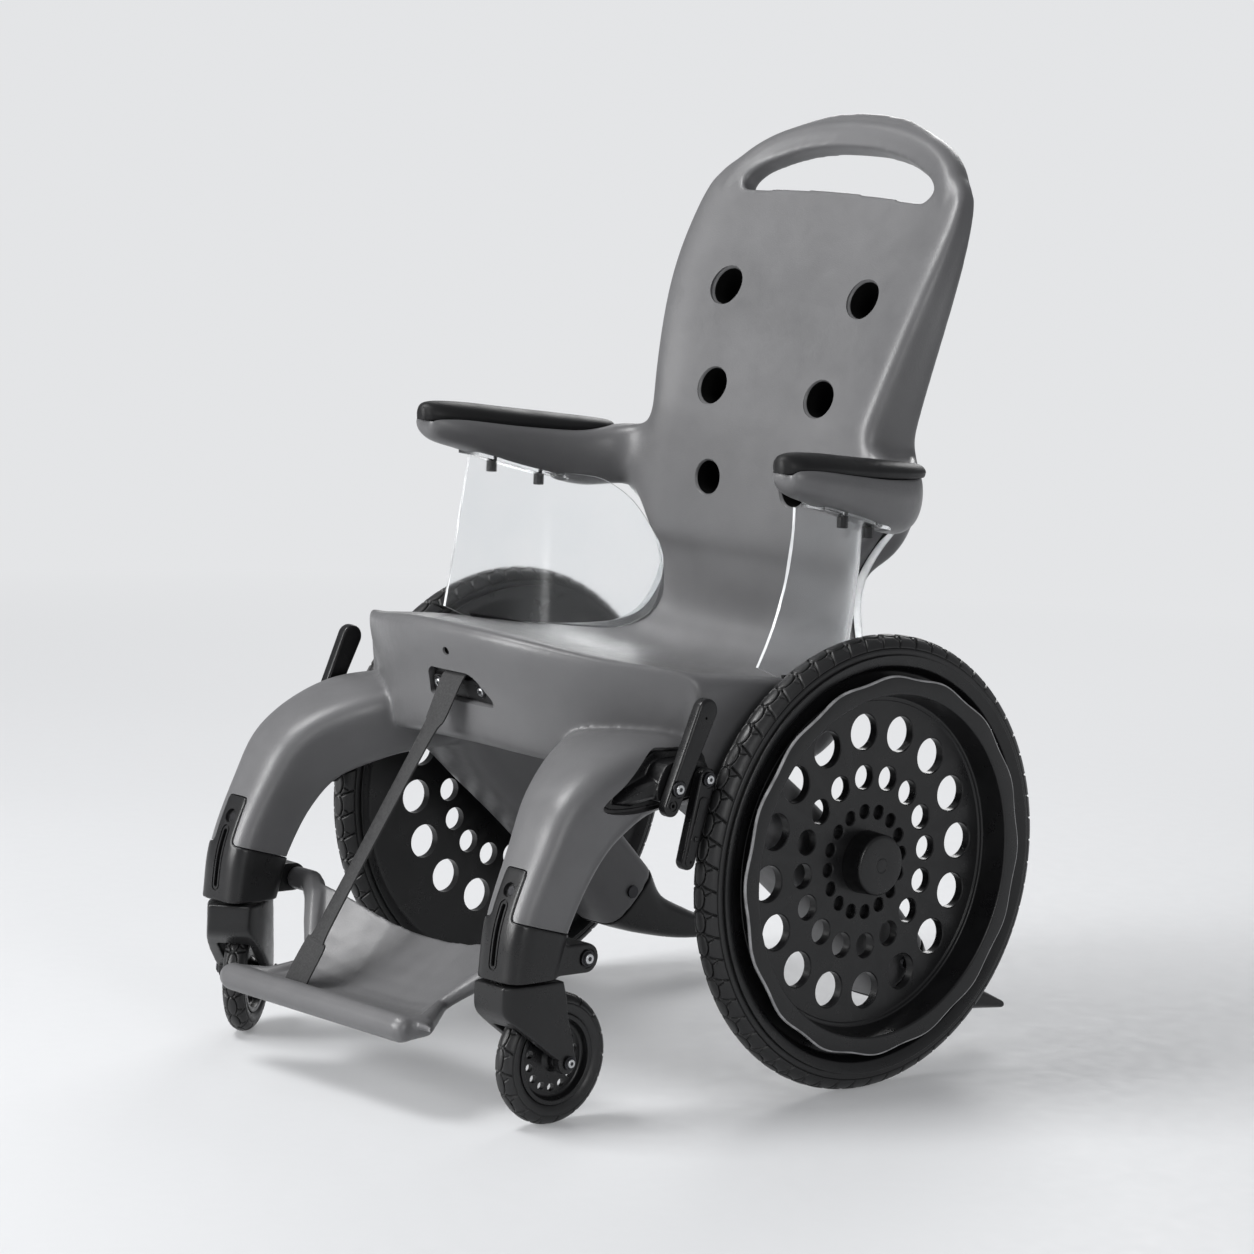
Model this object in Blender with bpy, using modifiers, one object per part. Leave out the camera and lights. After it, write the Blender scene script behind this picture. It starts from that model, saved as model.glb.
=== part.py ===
"""Pool wheelchair in metres, +Z up, facing -Y, standing on the floor at Z = 0.

One moulded body carries the seat, back, arm wings and four arched legs. It runs on two large
rear wheels and two swivelling front wheels, and has clear side panels, a hinged footplate held
by a strap, and a lever brake in front of each rear wheel. All places are measured from the
middle of the rear axle line on the floor. The empty "chair" then moves the whole chair so that
the origin lies under the middle of its outer size. Left is the sitter's left, +X.
"""
import math

import bmesh
import bpy
import numpy as np
from mathutils import Matrix, Vector

# Fits
GAP = 0.0003
PI = math.pi

# Rear wheels
WHEEL_RADIUS = 0.260
WHEEL_TRACK_HALF = 0.3178
WHEEL_STEPS = 32
TYRE_SECTION = 0.0181
RIM_EDGE = WHEEL_RADIUS - 0.0215
CHANNEL_FLOOR = RIM_EDGE - 0.0095
DISC_FACE = -0.0035
DISC_THICKNESS = 0.011
HANDRIM_REACH = 0.0298
HANDRIM_OUTER = RIM_EDGE - 0.0213
HANDRIM_INNER = HANDRIM_OUTER - 0.0215
DISH_RADIUS = HANDRIM_INNER - 0.0057
HANDRIM_WAVES = 16
HANDRIM_WAVE = 0.0035
HANDRIM_LIP = 0.0045
HOLES_PER_RING = 16
HOLE_PHASE = math.radians(3.88)
# Rings of holes: ring radius and hole radius as shares of the dish, and the sides of each hole
HOLE_RINGS = ((0.7879, 0.1079, 8), (0.5132, 0.0737, 6), (0.3053, 0.0411, 4))
HUB_RADIUS = 0.022
HUB_INBOARD = -0.0340
CAP_RADIUS = 0.036
CAP_FRONT = 0.0235
AXLE_RADIUS = 0.008
AXLE_INNER_X = round(WHEEL_TRACK_HALF - 0.1128, 6)
AXLE_END = 0.0170

# Front wheels
CASTER_RADIUS = 0.0736
CASTER_SECTION = 0.0135
CASTER_RIM_EDGE = CASTER_RADIUS - 0.0224
CASTER_STEPS = 20
CASTER_X = round(WHEEL_TRACK_HALF - 0.0703, 6)
CASTER_SWIVEL_Y = -0.458
CASTER_TRAIL = 0.054
CASTER_TURN_RIGHT = math.radians(38.0)
CASTER_HOLES = 16
CASTER_HOLE_RING = CASTER_RIM_EDGE - 0.0162
CASTER_HOLE_RADIUS = 0.0042
CASTER_HUB_HALF = 0.0165
CASTER_RIM_HALF = 0.0115
CASTER_AXLE_RADIUS = 0.004
CASTER_HEAD_RADIUS = 0.0075
FORK_TOP = round(2 * CASTER_RADIUS + 0.0183, 6)
STEM_RADIUS = 0.006
STEM_BOTTOM = round(FORK_TOP - 0.0255, 6)
STEM_TOP = round(FORK_TOP + 0.0285, 6)
STEM_COLLAR = 0.013
FORK_HALF_WIDTH = 0.0330
FORK_SLOT_HALF = 0.0185
FORK_EYE = 0.0135
FORK_WHEEL_CLEAR = 0.0055
FORK_PLAN_MIDDLE = 0.020
FORK_PLAN_HALF = 0.070
FORK_SQUARENESS = 2.5
FORK_FRONT = ((0.036, 0.0064), (0.010, 0.0254), (-0.016, 0.0444), (-0.032, 0.0574), (-0.0370, 0.0694))
FORK_REAR = ((0.0480, 0.0744), (0.0520, 0.0514), (0.0600, 0.0274))


def inboard(rows, *columns):
    """Rows whose given columns are distances inboard of a rear wheel's middle plane, turned to x."""
    return tuple(tuple(round(WHEEL_TRACK_HALF - value, 6) if number in columns else value
                       for number, value in enumerate(row)) for row in rows)


def by_wheel(ahead, above):
    """A (y, z) point ahead of a rear wheel's front edge and above its axle."""
    return round(-WHEEL_RADIUS - ahead, 6), round(WHEEL_RADIUS + above, 6)


# Moulded body: back holes (x, z, radius, depth), which narrow to a drain at the rear, and the
# handle slot, from its middle outwards (x, z)
BACK_HOLES = ((0.116, 0.877, 0.0225, 0.034), (0.091, 0.760, 0.0215, 0.049), (0.073, 0.652, 0.0195, 0.055))
BACK_HOLE_FLARE = 0.006
BACK_DRAIN_RADIUS = 0.006
SLOT_LOW = ((0.0, 0.9965), (0.080, 0.9945), (0.140, 0.9900), (0.1525, 0.9925), (0.1575, 1.0000))
SLOT_HIGH = ((0.1545, 1.0100), (0.140, 1.0215), (0.115, 1.0320), (0.087, 1.0410), (0.045, 1.0480),
             (0.0, 1.0500))

# Leg sleeves
SLEEVE_BOTTOM = round(FORK_TOP + 0.0030, 6)
SLEEVE_WALL = 0.0070
SLEEVE_SPLIT_Z = 0.2230
SLEEVE_FLOOR_Z = round(STEM_TOP + 0.0060, 6)
TAB_HALF_WIDTH = 0.0155
TAB_ZONE = ((-0.530, 0.190), (-0.530, 0.300), (-0.4640, 0.2900), (-0.4480, 0.2825), (-0.4600, 0.2300),
            (-0.470, 0.190))
GROOVE = ((-0.510, 0.190), (-0.4850, 0.190), (-0.4790, 0.2320), (-0.4705, 0.2530), (-0.500, 0.2650))
GROOVE_HALF_WIDTH = 0.005
SCREW_POINT = (-0.4684, 0.2650)
SCREW_NORMAL = (-0.921, 0.390)
SCREW_HEAD_RADIUS = 0.0050
SCREW_SHANK_RADIUS = 0.0025

# Footplate hinge
HINGE_Y = -0.384
HINGE_Z = 0.187
HINGE_PIN_RADIUS = 0.004
HINGE_HEAD_RADIUS = 0.0090
LUG_RADIUS = 0.0165
LUG_INNER_X = round(WHEEL_TRACK_HALF - 0.0818, 6)
LUG_OUTER_X = round(WHEEL_TRACK_HALF - 0.0378, 6)
KNUCKLE_RADIUS = 0.0135
KNUCKLE_INNER_X = round(WHEEL_TRACK_HALF - 0.1178, 6)
FOOT_SHEET = 0.007
BAR_RADIUS = 0.0160
BAR_Y = -0.521
BAR_Z = 0.098
BAR_HALF = 0.182
BAR_LEFT_END = BAR_HALF - 0.032

# Strap: x, y, z, width
STRAP_THICKNESS = 0.0025
STRAP = (
    (0.0000, -0.3400, 0.4590, 0.036),
    (0.0000, -0.3520, 0.4520, 0.036),
    (-0.0060, -0.3690, 0.4080, 0.031),
    (-0.0140, -0.3820, 0.3770, 0.022),
    (-0.0680, -0.4660, 0.1740, 0.022),
    (-0.0750, -0.4770, 0.1480, 0.036),
    (-0.0860, -0.4940, 0.1060, 0.038),
    (-0.0870, -0.4960, 0.0900, 0.038),
)
BRACKET_WIDTH = 0.106
BRACKET_HEIGHT = 0.042
BRACKET_THICKNESS = 0.004
BRACKET_CENTRE = (0.0, -0.3360, 0.4400)
BRACKET_TILT = math.radians(20.0)
BRACKET_BOLT_SPACING = 0.074
BRACKET_BOLT_RADIUS = 0.003
BRACKET_HEAD_RADIUS = 0.0065

# Side panels: x, y, z of the lower edge and of the upper edge, then the bulge between them
PANEL_THICKNESS = 0.004
PANEL = inboard((
    (0.0458, -0.1410, 0.4860, 0.0368, -0.1030, 0.6640, 0.0070),
    (0.0443, -0.1000, 0.4700, 0.0378, -0.0620, 0.6550, 0.0060),
    (0.0473, -0.0550, 0.4620, 0.0418, -0.0200, 0.6470, 0.0050),
    (0.0608, -0.0060, 0.4520, 0.0528, 0.0150, 0.6420, 0.0040),
    (0.0848, 0.0270, 0.4500, 0.0728, 0.0380, 0.6400, 0.0030),
    (0.1118, 0.0530, 0.4530, 0.0958, 0.0580, 0.6360, 0.0020),
    (0.1358, 0.0770, 0.4620, 0.1178, 0.0750, 0.6220, 0.0010),
    (0.1518, 0.0930, 0.4760, 0.1358, 0.0870, 0.6020, 0.0),
    (0.1658, 0.1060, 0.5000, 0.1558, 0.1040, 0.5640, 0.0),
), 0, 3)
FLANGE = inboard((
    (-0.0900, 0.0398, 0.0018, 0.6680),
    (-0.0490, 0.0418, -0.0002, 0.6585),
    (-0.0150, 0.0478, 0.0038, 0.6490),
    (0.0110, 0.0558, 0.0118, 0.6420),
    (0.0350, 0.0618, 0.0218, 0.6370),
), 1, 2)
GASKET_ROWS = (1, 4)
GASKET_WIDTH = 0.012
GASKET_HEIGHT = 0.010
KNOBS = inboard(((0.0148, -0.0490), (0.0338, 0.0110)), 0)
KNOB_RADIUS = 0.0065
KNOB_HEIGHT = 0.013
KNOB_STUD_RADIUS = 0.0025

# Armrest pads: x, y, half width, height of the arm's top there
PAD_HEIGHT = 0.017
PAD_SINK = 0.005
PAD = inboard((
    (0.0083, -0.1570, 0.0070, 0.7120),
    (0.0088, -0.1480, 0.0170, 0.7120),
    (0.0108, -0.1280, 0.0240, 0.7110),
    (0.0158, -0.0900, 0.0275, 0.7080),
    (0.0228, -0.0450, 0.0285, 0.7035),
    (0.0308, 0.0080, 0.0285, 0.6990),
    (0.0408, 0.0560, 0.0275, 0.6955),
    (0.0498, 0.0880, 0.0220, 0.6940),
    (0.0538, 0.1040, 0.0120, 0.6940),
    (0.0548, 0.1100, 0.0040, 0.6940),
), 0)

# Brakes
BRAKE_INNER_X = round(WHEEL_TRACK_HALF - 0.0145, 6)
BRAKE_ARM_THICKNESS = 0.014
LEVER_PIVOT = by_wheel(0.0340, 0.1100)
LEVER_TOP = by_wheel(-0.0060, 0.1920)
LEVER_TAIL = by_wheel(0.0410, 0.0900)
LEVER_HALF_WIDTH = 0.0135
LEVER_TAIL_HALF = 0.0100
SHOE_PIVOT = by_wheel(-0.0100, 0.1170)
SHOE_END = by_wheel(0.0135, 0.0280)
SHOE_HALF_WIDTH = 0.0100
PIVOT_RADIUS = 0.0035
PIVOT_HEAD_RADIUS = 0.0075
BRAKE_BLOCK = tuple(by_wheel(ahead, above) for ahead, above in (
               (0.106, 0.092), (0.075, 0.085), (0.002, 0.090), (-0.026, 0.102),
               (-0.024, 0.138), (0.020, 0.145), (0.044, 0.142), (0.080, 0.112)))
BRAKE_BLOCK_INNER_X = round(WHEEL_TRACK_HALF - 0.0478, 6)
BRAKE_POCKET_CLEAR = 0.004

# Rear feet
FOOT_TENON = 0.028
FOOT_TENON_INSET = 0.011
FOOT_BOLT_RADIUS = 0.004
FOOT_BOLT_HEAD = 0.0080

# The middle of the outer size, from the front of the footplate bar to the tips of the rear feet
CHAIR_Y = 0.1180

# The moulding's middle line, from the front lip over the seat and up the back. Each row is one
# cross-section: y, z, slope in degrees, half width, dish of the sides, sweep of the sides along
# the line, thickness, widening of the outer skin, lean of the outer skin along the line. The
# moulding thins towards its sides in the rows from the seat's rear to the arms.
SPINE = inboard((
    (-0.360, 0.513, -8, 0.0458, -0.020, 0.112, 0.122, -0.070, 0.038),
    (-0.270, 0.492, -11, 0.0348, -0.004, 0.040, 0.118, -0.040, 0.010),
    (-0.150, 0.463, -11, 0.0318, 0.012, 0.000, 0.105, -0.030, 0.000),
    (-0.030, 0.440, -8, 0.0438, 0.020, 0.000, 0.085, -0.030, 0.000),
    (0.055, 0.438, 12, 0.0858, 0.022, 0.000, 0.065, -0.020, 0.000),
    (0.100, 0.474, 62, 0.1318, 0.006, 0.000, 0.044, -0.060, 0.000),
    (0.098, 0.525, 92, 0.1608, -0.008, 0.000, 0.038, 0.000, 0.000),
    (0.094, 0.563, 91, 0.1558, -0.008, 0.000, 0.042, 0.020, 0.000),
    (0.091, 0.604, 89, 0.1338, -0.004, 0.000, 0.062, 0.080, 0.000),
    (0.100, 0.708, 82, 0.1298, 0.000, 0.000, 0.068, 0.080, 0.000),
    (0.113, 0.756, 75, 0.1308, 0.004, 0.000, 0.058, 0.100, 0.000),
    (0.148, 0.860, 70, 0.1128, 0.006, 0.000, 0.044, 0.085, 0.000),
    (0.188, 0.945, 64, 0.1058, 0.006, 0.000, 0.032, 0.050, 0.000),
    (0.225, 1.015, 60, 0.1148, 0.004, -0.010, 0.026, 0.010, 0.000),
    (0.270, 1.087, 58, 0.1458, 0.002, -0.062, 0.028, 0.010, 0.000),
), 3)
COLUMNS = (0.0, 0.40, 0.78, 1.0)
EDGE_BULGE = 0.005
THIN_ROWS = {4: 0.50, 5: 0.30, 6: 0.62, 7: 0.90}
ARM_ROOT = 8

# Arm cross-sections from the wing to the tip: x, y, half width, top z, bottom z
ARM = inboard((
    (0.0858, 0.108, 0.024, 0.700, 0.626),
    (0.0518, 0.066, 0.029, 0.694, 0.624),
    (0.0318, 0.000, 0.030, 0.699, 0.640),
    (0.0208, -0.060, 0.030, 0.706, 0.657),
    (0.0118, -0.112, 0.028, 0.712, 0.673),
    (0.0078, -0.146, 0.018, 0.713, 0.687),
), 0)
ARM_TURN = (-38, -68, -80, -82, -84, -86)

# One leg arch, from the front sleeve over the crown and down to the rear foot. Each row is one
# cross-section: y, z, direction in degrees, half depth, inner x, outer x.
ARCH = inboard((
    (-0.4550, SLEEVE_BOTTOM, 90, 0.0360, 0.1048, 0.0358),
    (-0.4430, 0.2250, 80, 0.0400, 0.1068, 0.0338),
    (-0.4130, 0.2880, 66, 0.0420, 0.1128, 0.0318),
    (-0.3770, 0.3370, 50, 0.0480, 0.1278, 0.0308),
    (-0.3120, 0.3710, 20, 0.0450, 0.1658, 0.0308),
    (-0.2400, 0.3780, 0, 0.0420, 0.1828, 0.0308),
    (-0.1750, 0.3690, -20, 0.0440, 0.1678, 0.0328),
    (-0.0900, 0.3080, -38, 0.0480, 0.1428, 0.0348),
    (0.0030, 0.2295, -44, 0.0480, 0.1278, 0.0358),
    (0.1180, 0.1150, -44, 0.0470, 0.1258, 0.0388),
), 4, 5)
SECTION_POINTS = 10
SECTION_SQUARENESS = 3.2

# The rear foot carries on from the arch: y, z, direction, half depth, inner x, outer x
REAR_FOOT = inboard((
    (0.1180, 0.1150, -44, 0.0470, 0.1258, 0.0388),
    (0.1560, 0.0890, -32, 0.0290, 0.1228, 0.0418),
    (0.2120, 0.0700, -18, 0.0200, 0.1188, 0.0478),
    (0.2620, 0.0580, -14, 0.0120, 0.1148, 0.0518),
    (0.3000, 0.0475, -12, 0.0050, 0.1098, 0.0558),
), 4, 5)

# Footplate sheet, half: rows from the bar to the hinge arms, points from the middle outwards
FOOT_ROWS = (
    ((0.000, -0.512, 0.1030), (0.065, -0.512, 0.1030), (0.125, -0.512, 0.1040), (0.180, -0.516, 0.1040)),
    ((0.000, -0.480, 0.0960), (0.060, -0.480, 0.0965), (0.105, -0.482, 0.0985), (0.140, -0.490, 0.1020)),
    ((0.000, -0.445, 0.1000), (0.055, -0.446, 0.1010), (0.098, -0.449, 0.1060), (0.121, -0.456, 0.1120)),
    ((0.000, -0.405, 0.1240), (0.062, -0.406, 0.1270), (0.115, -0.411, 0.1370),
     (KNUCKLE_INNER_X - 0.042, -0.418, 0.1500)),
    ((0.000, -0.369, 0.1550), (0.070, -0.370, 0.1600), (0.132, -0.377, 0.1760),
     (KNUCKLE_INNER_X - 0.007, -0.388, 0.1910)),
)

# The rolled edge of the sheet, up to the hinge: x, y, z, radius. It starts at the bar, which ends
# farther in on the left.
EDGE_ROLL_LOW = {
    "left": ((BAR_LEFT_END - 0.014, -0.519, 0.0985, 0.0155), (BAR_LEFT_END - 0.004, -0.498, 0.1005, 0.0130)),
    "right": ((BAR_HALF - 0.010, -0.515, 0.1000, 0.0115), (BAR_HALF - 0.041, -0.490, 0.1030, 0.0085)),
}
EDGE_ROLL = (
    (0.123, -0.456, 0.1130, 0.0080),
    (0.134, -0.436, 0.1290, 0.0095),
    (KNUCKLE_INNER_X - 0.043, -0.416, 0.1500, 0.0125),
    (KNUCKLE_INNER_X - 0.020, -0.395, 0.1730, 0.0150),
    (KNUCKLE_INNER_X - 0.002, -0.386, 0.1850, 0.0140),
    (KNUCKLE_INNER_X + 0.010, -0.384, 0.1870, 0.0125),
)

BODY_FACE_SHARE = 0.17
PARTS = "pool_wheelchair"
CUTTERS = "pool_wheelchair_cutters"
SIDES = (("left", 1.0), ("right", -1.0))

COLOURS = {
    "body_grey": ((0.105, 0.105, 0.108), 0.50, 0.0, 1.0),
    "sleeve_black": ((0.018, 0.018, 0.019), 0.42, 0.0, 1.0),
    "wheel_black": ((0.010, 0.010, 0.011), 0.45, 0.0, 1.0),
    "rubber_black": ((0.014, 0.014, 0.015), 0.70, 0.0, 1.0),
    "pad_black": ((0.016, 0.016, 0.017), 0.60, 0.0, 1.0),
    "clear_panel": ((0.90, 0.92, 0.93), 0.05, 0.0, 0.25),
    "webbing_black": ((0.020, 0.020, 0.021), 0.85, 0.0, 1.0),
    "steel": ((0.55, 0.56, 0.57), 0.30, 1.0, 1.0),
}


def clear_scene():
    for obj in list(bpy.data.objects):
        bpy.data.objects.remove(obj, do_unlink=True)


def make_collection(name):
    group = bpy.data.collections.new(name)
    bpy.context.scene.collection.children.link(group)
    return group


def make_material(name):
    colour, roughness, metallic, alpha = COLOURS[name]
    material = bpy.data.materials.new(name)
    material.use_nodes = True
    shader = material.node_tree.nodes["Principled BSDF"]
    shader.inputs["Base Color"].default_value = (*colour, 1.0)
    shader.inputs["Roughness"].default_value = roughness
    shader.inputs["Metallic"].default_value = metallic
    shader.inputs["Alpha"].default_value = alpha
    return material


def make_empty(name, location, parent=None, turn=0.0):
    empty = bpy.data.objects.new(name, None)
    bpy.context.scene.collection.objects.link(empty)
    empty.location = location
    empty.rotation_euler = (0.0, 0.0, turn)
    empty.parent = parent
    return empty


def add_object(name, mesh, parent, material=None):
    """An object for a part, or for a cutter when it has no material."""
    obj = bpy.data.objects.new(name, mesh)
    if material is None:
        bpy.data.collections[CUTTERS].objects.link(obj)
        obj.hide_render = True
        obj.display_type = "WIRE"
    else:
        bpy.data.collections[PARTS].objects.link(obj)
        mesh.materials.append(bpy.data.materials[material])
    obj.parent = parent
    return obj


def mesh_of(points, faces, edges=()):
    mesh = bpy.data.meshes.new("shape")
    mesh.from_pydata([tuple(point) for point in points], list(edges), faces)
    mesh.update()
    return mesh


def face_outwards(mesh):
    shape = bmesh.new()
    shape.from_mesh(mesh)
    bmesh.ops.recalc_face_normals(shape, faces=shape.faces)
    if shape.calc_volume(signed=True) < 0:
        bmesh.ops.reverse_faces(shape, faces=shape.faces)
    shape.to_mesh(mesh)
    shape.free()
    return mesh


def smooth(obj, angle=35.0):
    obj.data.shade_smooth()
    obj.data.set_sharp_from_angle(angle=math.radians(angle))
    return obj


def boolean(obj, other, operation):
    modifier = obj.modifiers.new(operation.lower(), "BOOLEAN")
    modifier.operation = operation
    modifier.object = other
    modifier.solver = "EXACT"


def subdivide(obj, levels):
    modifier = obj.modifiers.new("soft_form", "SUBSURF")
    modifier.levels = levels
    modifier.render_levels = levels


def loft_mesh(rings, twisted=False):
    """A closed solid through rings of as many points each, with flat ends.

    A twisted loft and its grown copy split their faces along the same lines, so that the
    clearance between them stays even."""
    count = len(rings[0])
    points = [point for ring in rings for point in ring]
    faces = []
    for row in range(len(rings) - 1):
        for step in range(count):
            after = (step + 1) % count
            low, high = row * count, (row + 1) * count
            if twisted:
                faces.append((low + step, low + after, high + after))
                faces.append((low + step, high + after, high + step))
            else:
                faces.append((low + step, low + after, high + after, high + step))
    faces.append(tuple(range(count)))
    faces.append(tuple((len(rings) - 1) * count + step for step in range(count)))
    return face_outwards(mesh_of(points, faces))


def cylinder_mesh(cylinders, segments=12):
    """Separate cylinders from (start, end, radius) or (start, end, radius, end radius) rows."""
    shape = bmesh.new()
    for row in cylinders:
        start, end = Vector(row[0]), Vector(row[1])
        radius, far_radius = row[2], row[-1]
        turn = (end - start).to_track_quat("Z", "Y").to_matrix().to_4x4()
        place = Matrix.Translation((start + end) / 2) @ turn
        bmesh.ops.create_cone(shape, cap_ends=True, segments=segments, radius1=radius,
                              radius2=far_radius, depth=(end - start).length, matrix=place)
    mesh = bpy.data.meshes.new("cylinders")
    shape.to_mesh(mesh)
    shape.free()
    return mesh


def box_mesh(low, high):
    shape = bmesh.new()
    middle = (Vector(low) + Vector(high)) / 2
    size = Vector(high) - Vector(low)
    place = Matrix.Translation(middle) @ Matrix.Diagonal((*size, 1.0))
    bmesh.ops.create_cube(shape, size=1.0, matrix=place)
    mesh = bpy.data.meshes.new("box")
    shape.to_mesh(mesh)
    shape.free()
    return mesh


def prism_mesh(outline, low, high):
    """A solid along X between low and high from (y, z) points."""
    rings = [[(x, y, z) for y, z in outline] for x in (low, high)]
    return loft_mesh(rings)


def stadium(start, end, radius, steps=5, end_radius=None):
    """Points round a bar with round ends, from one (y, z) centre to another."""
    end_radius = radius if end_radius is None else end_radius
    heading = math.atan2(end[1] - start[1], end[0] - start[0])
    points = []
    for centre, size, first in ((start, radius, PI / 2), (end, end_radius, -PI / 2)):
        for step in range(steps + 1):
            angle = heading + first + PI * step / steps
            points.append((centre[0] + size * math.cos(angle), centre[1] + size * math.sin(angle)))
    return points


def resample(rows, between):
    """Rows of numbers, with more rows between them on a smooth curve."""
    table = np.array(rows, dtype=float)
    padded = np.vstack([2 * table[0] - table[1], table, 2 * table[-1] - table[-2]])
    result = []
    for row in range(len(table) - 1):
        before, start, end, after = padded[row:row + 4]
        for step in range(between):
            t = step / between
            result.append(0.5 * (2 * start + (end - before) * t
                                 + (2 * before - 5 * start + 4 * end - after) * t ** 2
                                 + (3 * start - before - 3 * end + after) * t ** 3))
    result.append(table[-1])
    return result


def rounded(share, squareness):
    """A sine or cosine pushed outwards, for sections between round and square."""
    return math.copysign(abs(share) ** (2 / squareness), share)


def section_ring(row, side, inset=0.0):
    """A rounded section of a leg, square to its direction in the side view."""
    y, z, direction, half, inner, outer = row
    turn = math.radians(direction)
    middle, width = (inner + outer) / 2, (outer - inner) / 2 - inset
    depth = half - inset
    ring = []
    for step in range(SECTION_POINTS):
        angle = 2 * PI * (step + 0.5) / SECTION_POINTS
        across = rounded(math.cos(angle), SECTION_SQUARENESS)
        along = rounded(math.sin(angle), SECTION_SQUARENESS)
        ring.append((side * (middle + width * across),
                     y - math.sin(turn) * depth * along,
                     z + math.cos(turn) * depth * along))
    return ring


def spine_frame(row):
    slope = math.radians(row[2])
    along = np.array([0.0, math.cos(slope), math.sin(slope)])
    normal = np.array([0.0, -math.sin(slope), math.cos(slope)])
    return np.array([0.0, row[0], row[1]]), along, normal


def skin_points(number, column):
    """Inner and outer skin of the moulding where a column crosses a row of its spine."""
    row = SPINE[number]
    middle, along, normal = spine_frame(row)
    share = math.copysign(COLUMNS[abs(column)], column)
    half, dish, sweep, thickness, widening, lean = row[3:]
    inner = middle + normal * dish * share ** 2 + along * sweep * abs(share) ** 2.5
    inner = inner + np.array([half * share, 0.0, 0.0])
    thickness *= 1 - (1 - THIN_ROWS.get(number, 1.0)) * share ** 2
    outer = inner - normal * thickness + along * lean
    outer[0] *= 1 + widening
    return inner, outer


def body_cage():
    """Points and four-sided faces of the seat, back and arm wings, as one closed net."""
    points, faces, lookup = [], [], {}

    def add(key, place):
        lookup[key] = len(points)
        points.append(np.array(place, dtype=float))

    reach = len(COLUMNS) - 1
    last = len(SPINE) - 1
    for number in range(len(SPINE)):
        for column in range(-reach, reach + 1):
            inner, outer = skin_points(number, column)
            add(("in", number, column), inner)
            add(("out", number, column), outer)
            between = (inner + outer) / 2
            if abs(column) == reach:
                between[0] += math.copysign(EDGE_BULGE, column)
                add(("edge", number, column), between)
            elif number in (0, last):
                add(("edge", number, column), between)
    for number in range(last):
        for column in range(-reach, reach):
            for skin in ("in", "out"):
                faces.append([(skin, number, column), (skin, number, column + 1),
                              (skin, number + 1, column + 1), (skin, number + 1, column)])
        for column in (-reach, reach):
            if number == ARM_ROOT:
                continue
            for first, second in (("in", "edge"), ("edge", "out")):
                faces.append([(first, number, column), (second, number, column),
                              (second, number + 1, column), (first, number + 1, column)])
    for number in (0, last):
        for column in range(-reach, reach):
            for first, second in (("in", "edge"), ("edge", "out")):
                faces.append([(first, number, column), (first, number, column + 1),
                              (second, number, column + 1), (second, number, column)])
    for side in (-1, 1):
        column = side * reach
        ring = [("in", ARM_ROOT, column), ("edge", ARM_ROOT, column), ("out", ARM_ROOT, column),
                ("out", ARM_ROOT + 1, column), ("edge", ARM_ROOT + 1, column),
                ("in", ARM_ROOT + 1, column)]
        for number, (row, heading) in enumerate(zip(ARM, ARM_TURN)):
            x, y, half, top, bottom = row
            angle = math.radians(heading)
            across = np.array([-math.sin(angle), math.cos(angle)])
            middle = (top + bottom) / 2
            crown = 0.12 * (top - bottom)
            corners = ((-1, bottom + 2 * crown), (0, bottom), (1, bottom + 2 * crown),
                       (1, top - crown / 2), (0, top), (-1, top - crown / 2))
            new_ring = []
            for spot, (share, height) in enumerate(corners):
                key = ("arm", side, number, spot)
                add(key, (side * (x + across[0] * half * share), y + across[1] * half * share,
                          height if abs(share) < 1 else 0.9 * height + 0.1 * middle))
                new_ring.append(key)
            for spot in range(6):
                after = (spot + 1) % 6
                faces.append([ring[spot], ring[after], new_ring[after], new_ring[spot]])
            ring = new_ring
        faces.append([ring[0], ring[1], ring[4], ring[5]])
        faces.append([ring[1], ring[2], ring[3], ring[4]])
    return points, [[lookup[key] for key in face] for face in faces]


def pull_through(points, faces, rounds=12):
    """Moves a net's points until its smooth surface passes through where they were."""
    target = np.array(points)
    count = len(target)
    beside, across = np.zeros((count, count)), np.zeros((count, count))
    for face in faces:
        for spot, point in enumerate(face):
            beside[point, face[(spot + 1) % 4]] = 1
            beside[face[(spot + 1) % 4], point] = 1
            across[point, face[(spot + 2) % 4]] += 1
    valence = beside.sum(axis=1, keepdims=True)
    place = target.copy()
    for _ in range(rounds):
        limit = (valence ** 2 * place + 4 * beside @ place + across @ place)
        limit = limit / (valence * (valence + 5))
        place = place + 0.9 * (target - limit)
    return place


def growth(points, amount):
    """Outline points moved outwards by an amount, for (y, z) outlines given in either turn."""
    area = 0.0
    for step, point in enumerate(points):
        after = points[(step + 1) % len(points)]
        area += point[0] * after[1] - after[0] * point[1]
    turn = 1.0 if area > 0 else -1.0
    grown = []
    for step, point in enumerate(points):
        before, after = points[step - 1], points[(step + 1) % len(points)]
        one = Vector((point[0] - before[0], point[1] - before[1])).normalized()
        two = Vector((after[0] - point[0], after[1] - point[1])).normalized()
        side = (Vector((one.y, -one.x)) + Vector((two.y, -two.x))) * turn
        share = amount / max(0.3, 0.5 * side.length_squared)
        grown.append((point[0] + side.x * share, point[1] + side.y * share))
    return grown


def turned_mesh(start, direction, rows, segments=10):
    """A solid of round sections along a line, from (distance, radius) rows."""
    start, direction = Vector(start), Vector(direction).normalized()
    turn = direction.to_track_quat("Z", "Y").to_matrix()
    rings = []
    for distance, radius in rows:
        ring = []
        for step in range(segments):
            angle = 2 * PI * step / segments
            spot = Vector((radius * math.cos(angle), radius * math.sin(angle), distance))
            ring.append(start + turn @ spot)
        rings.append(ring)
    return loft_mesh(rings)


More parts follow.
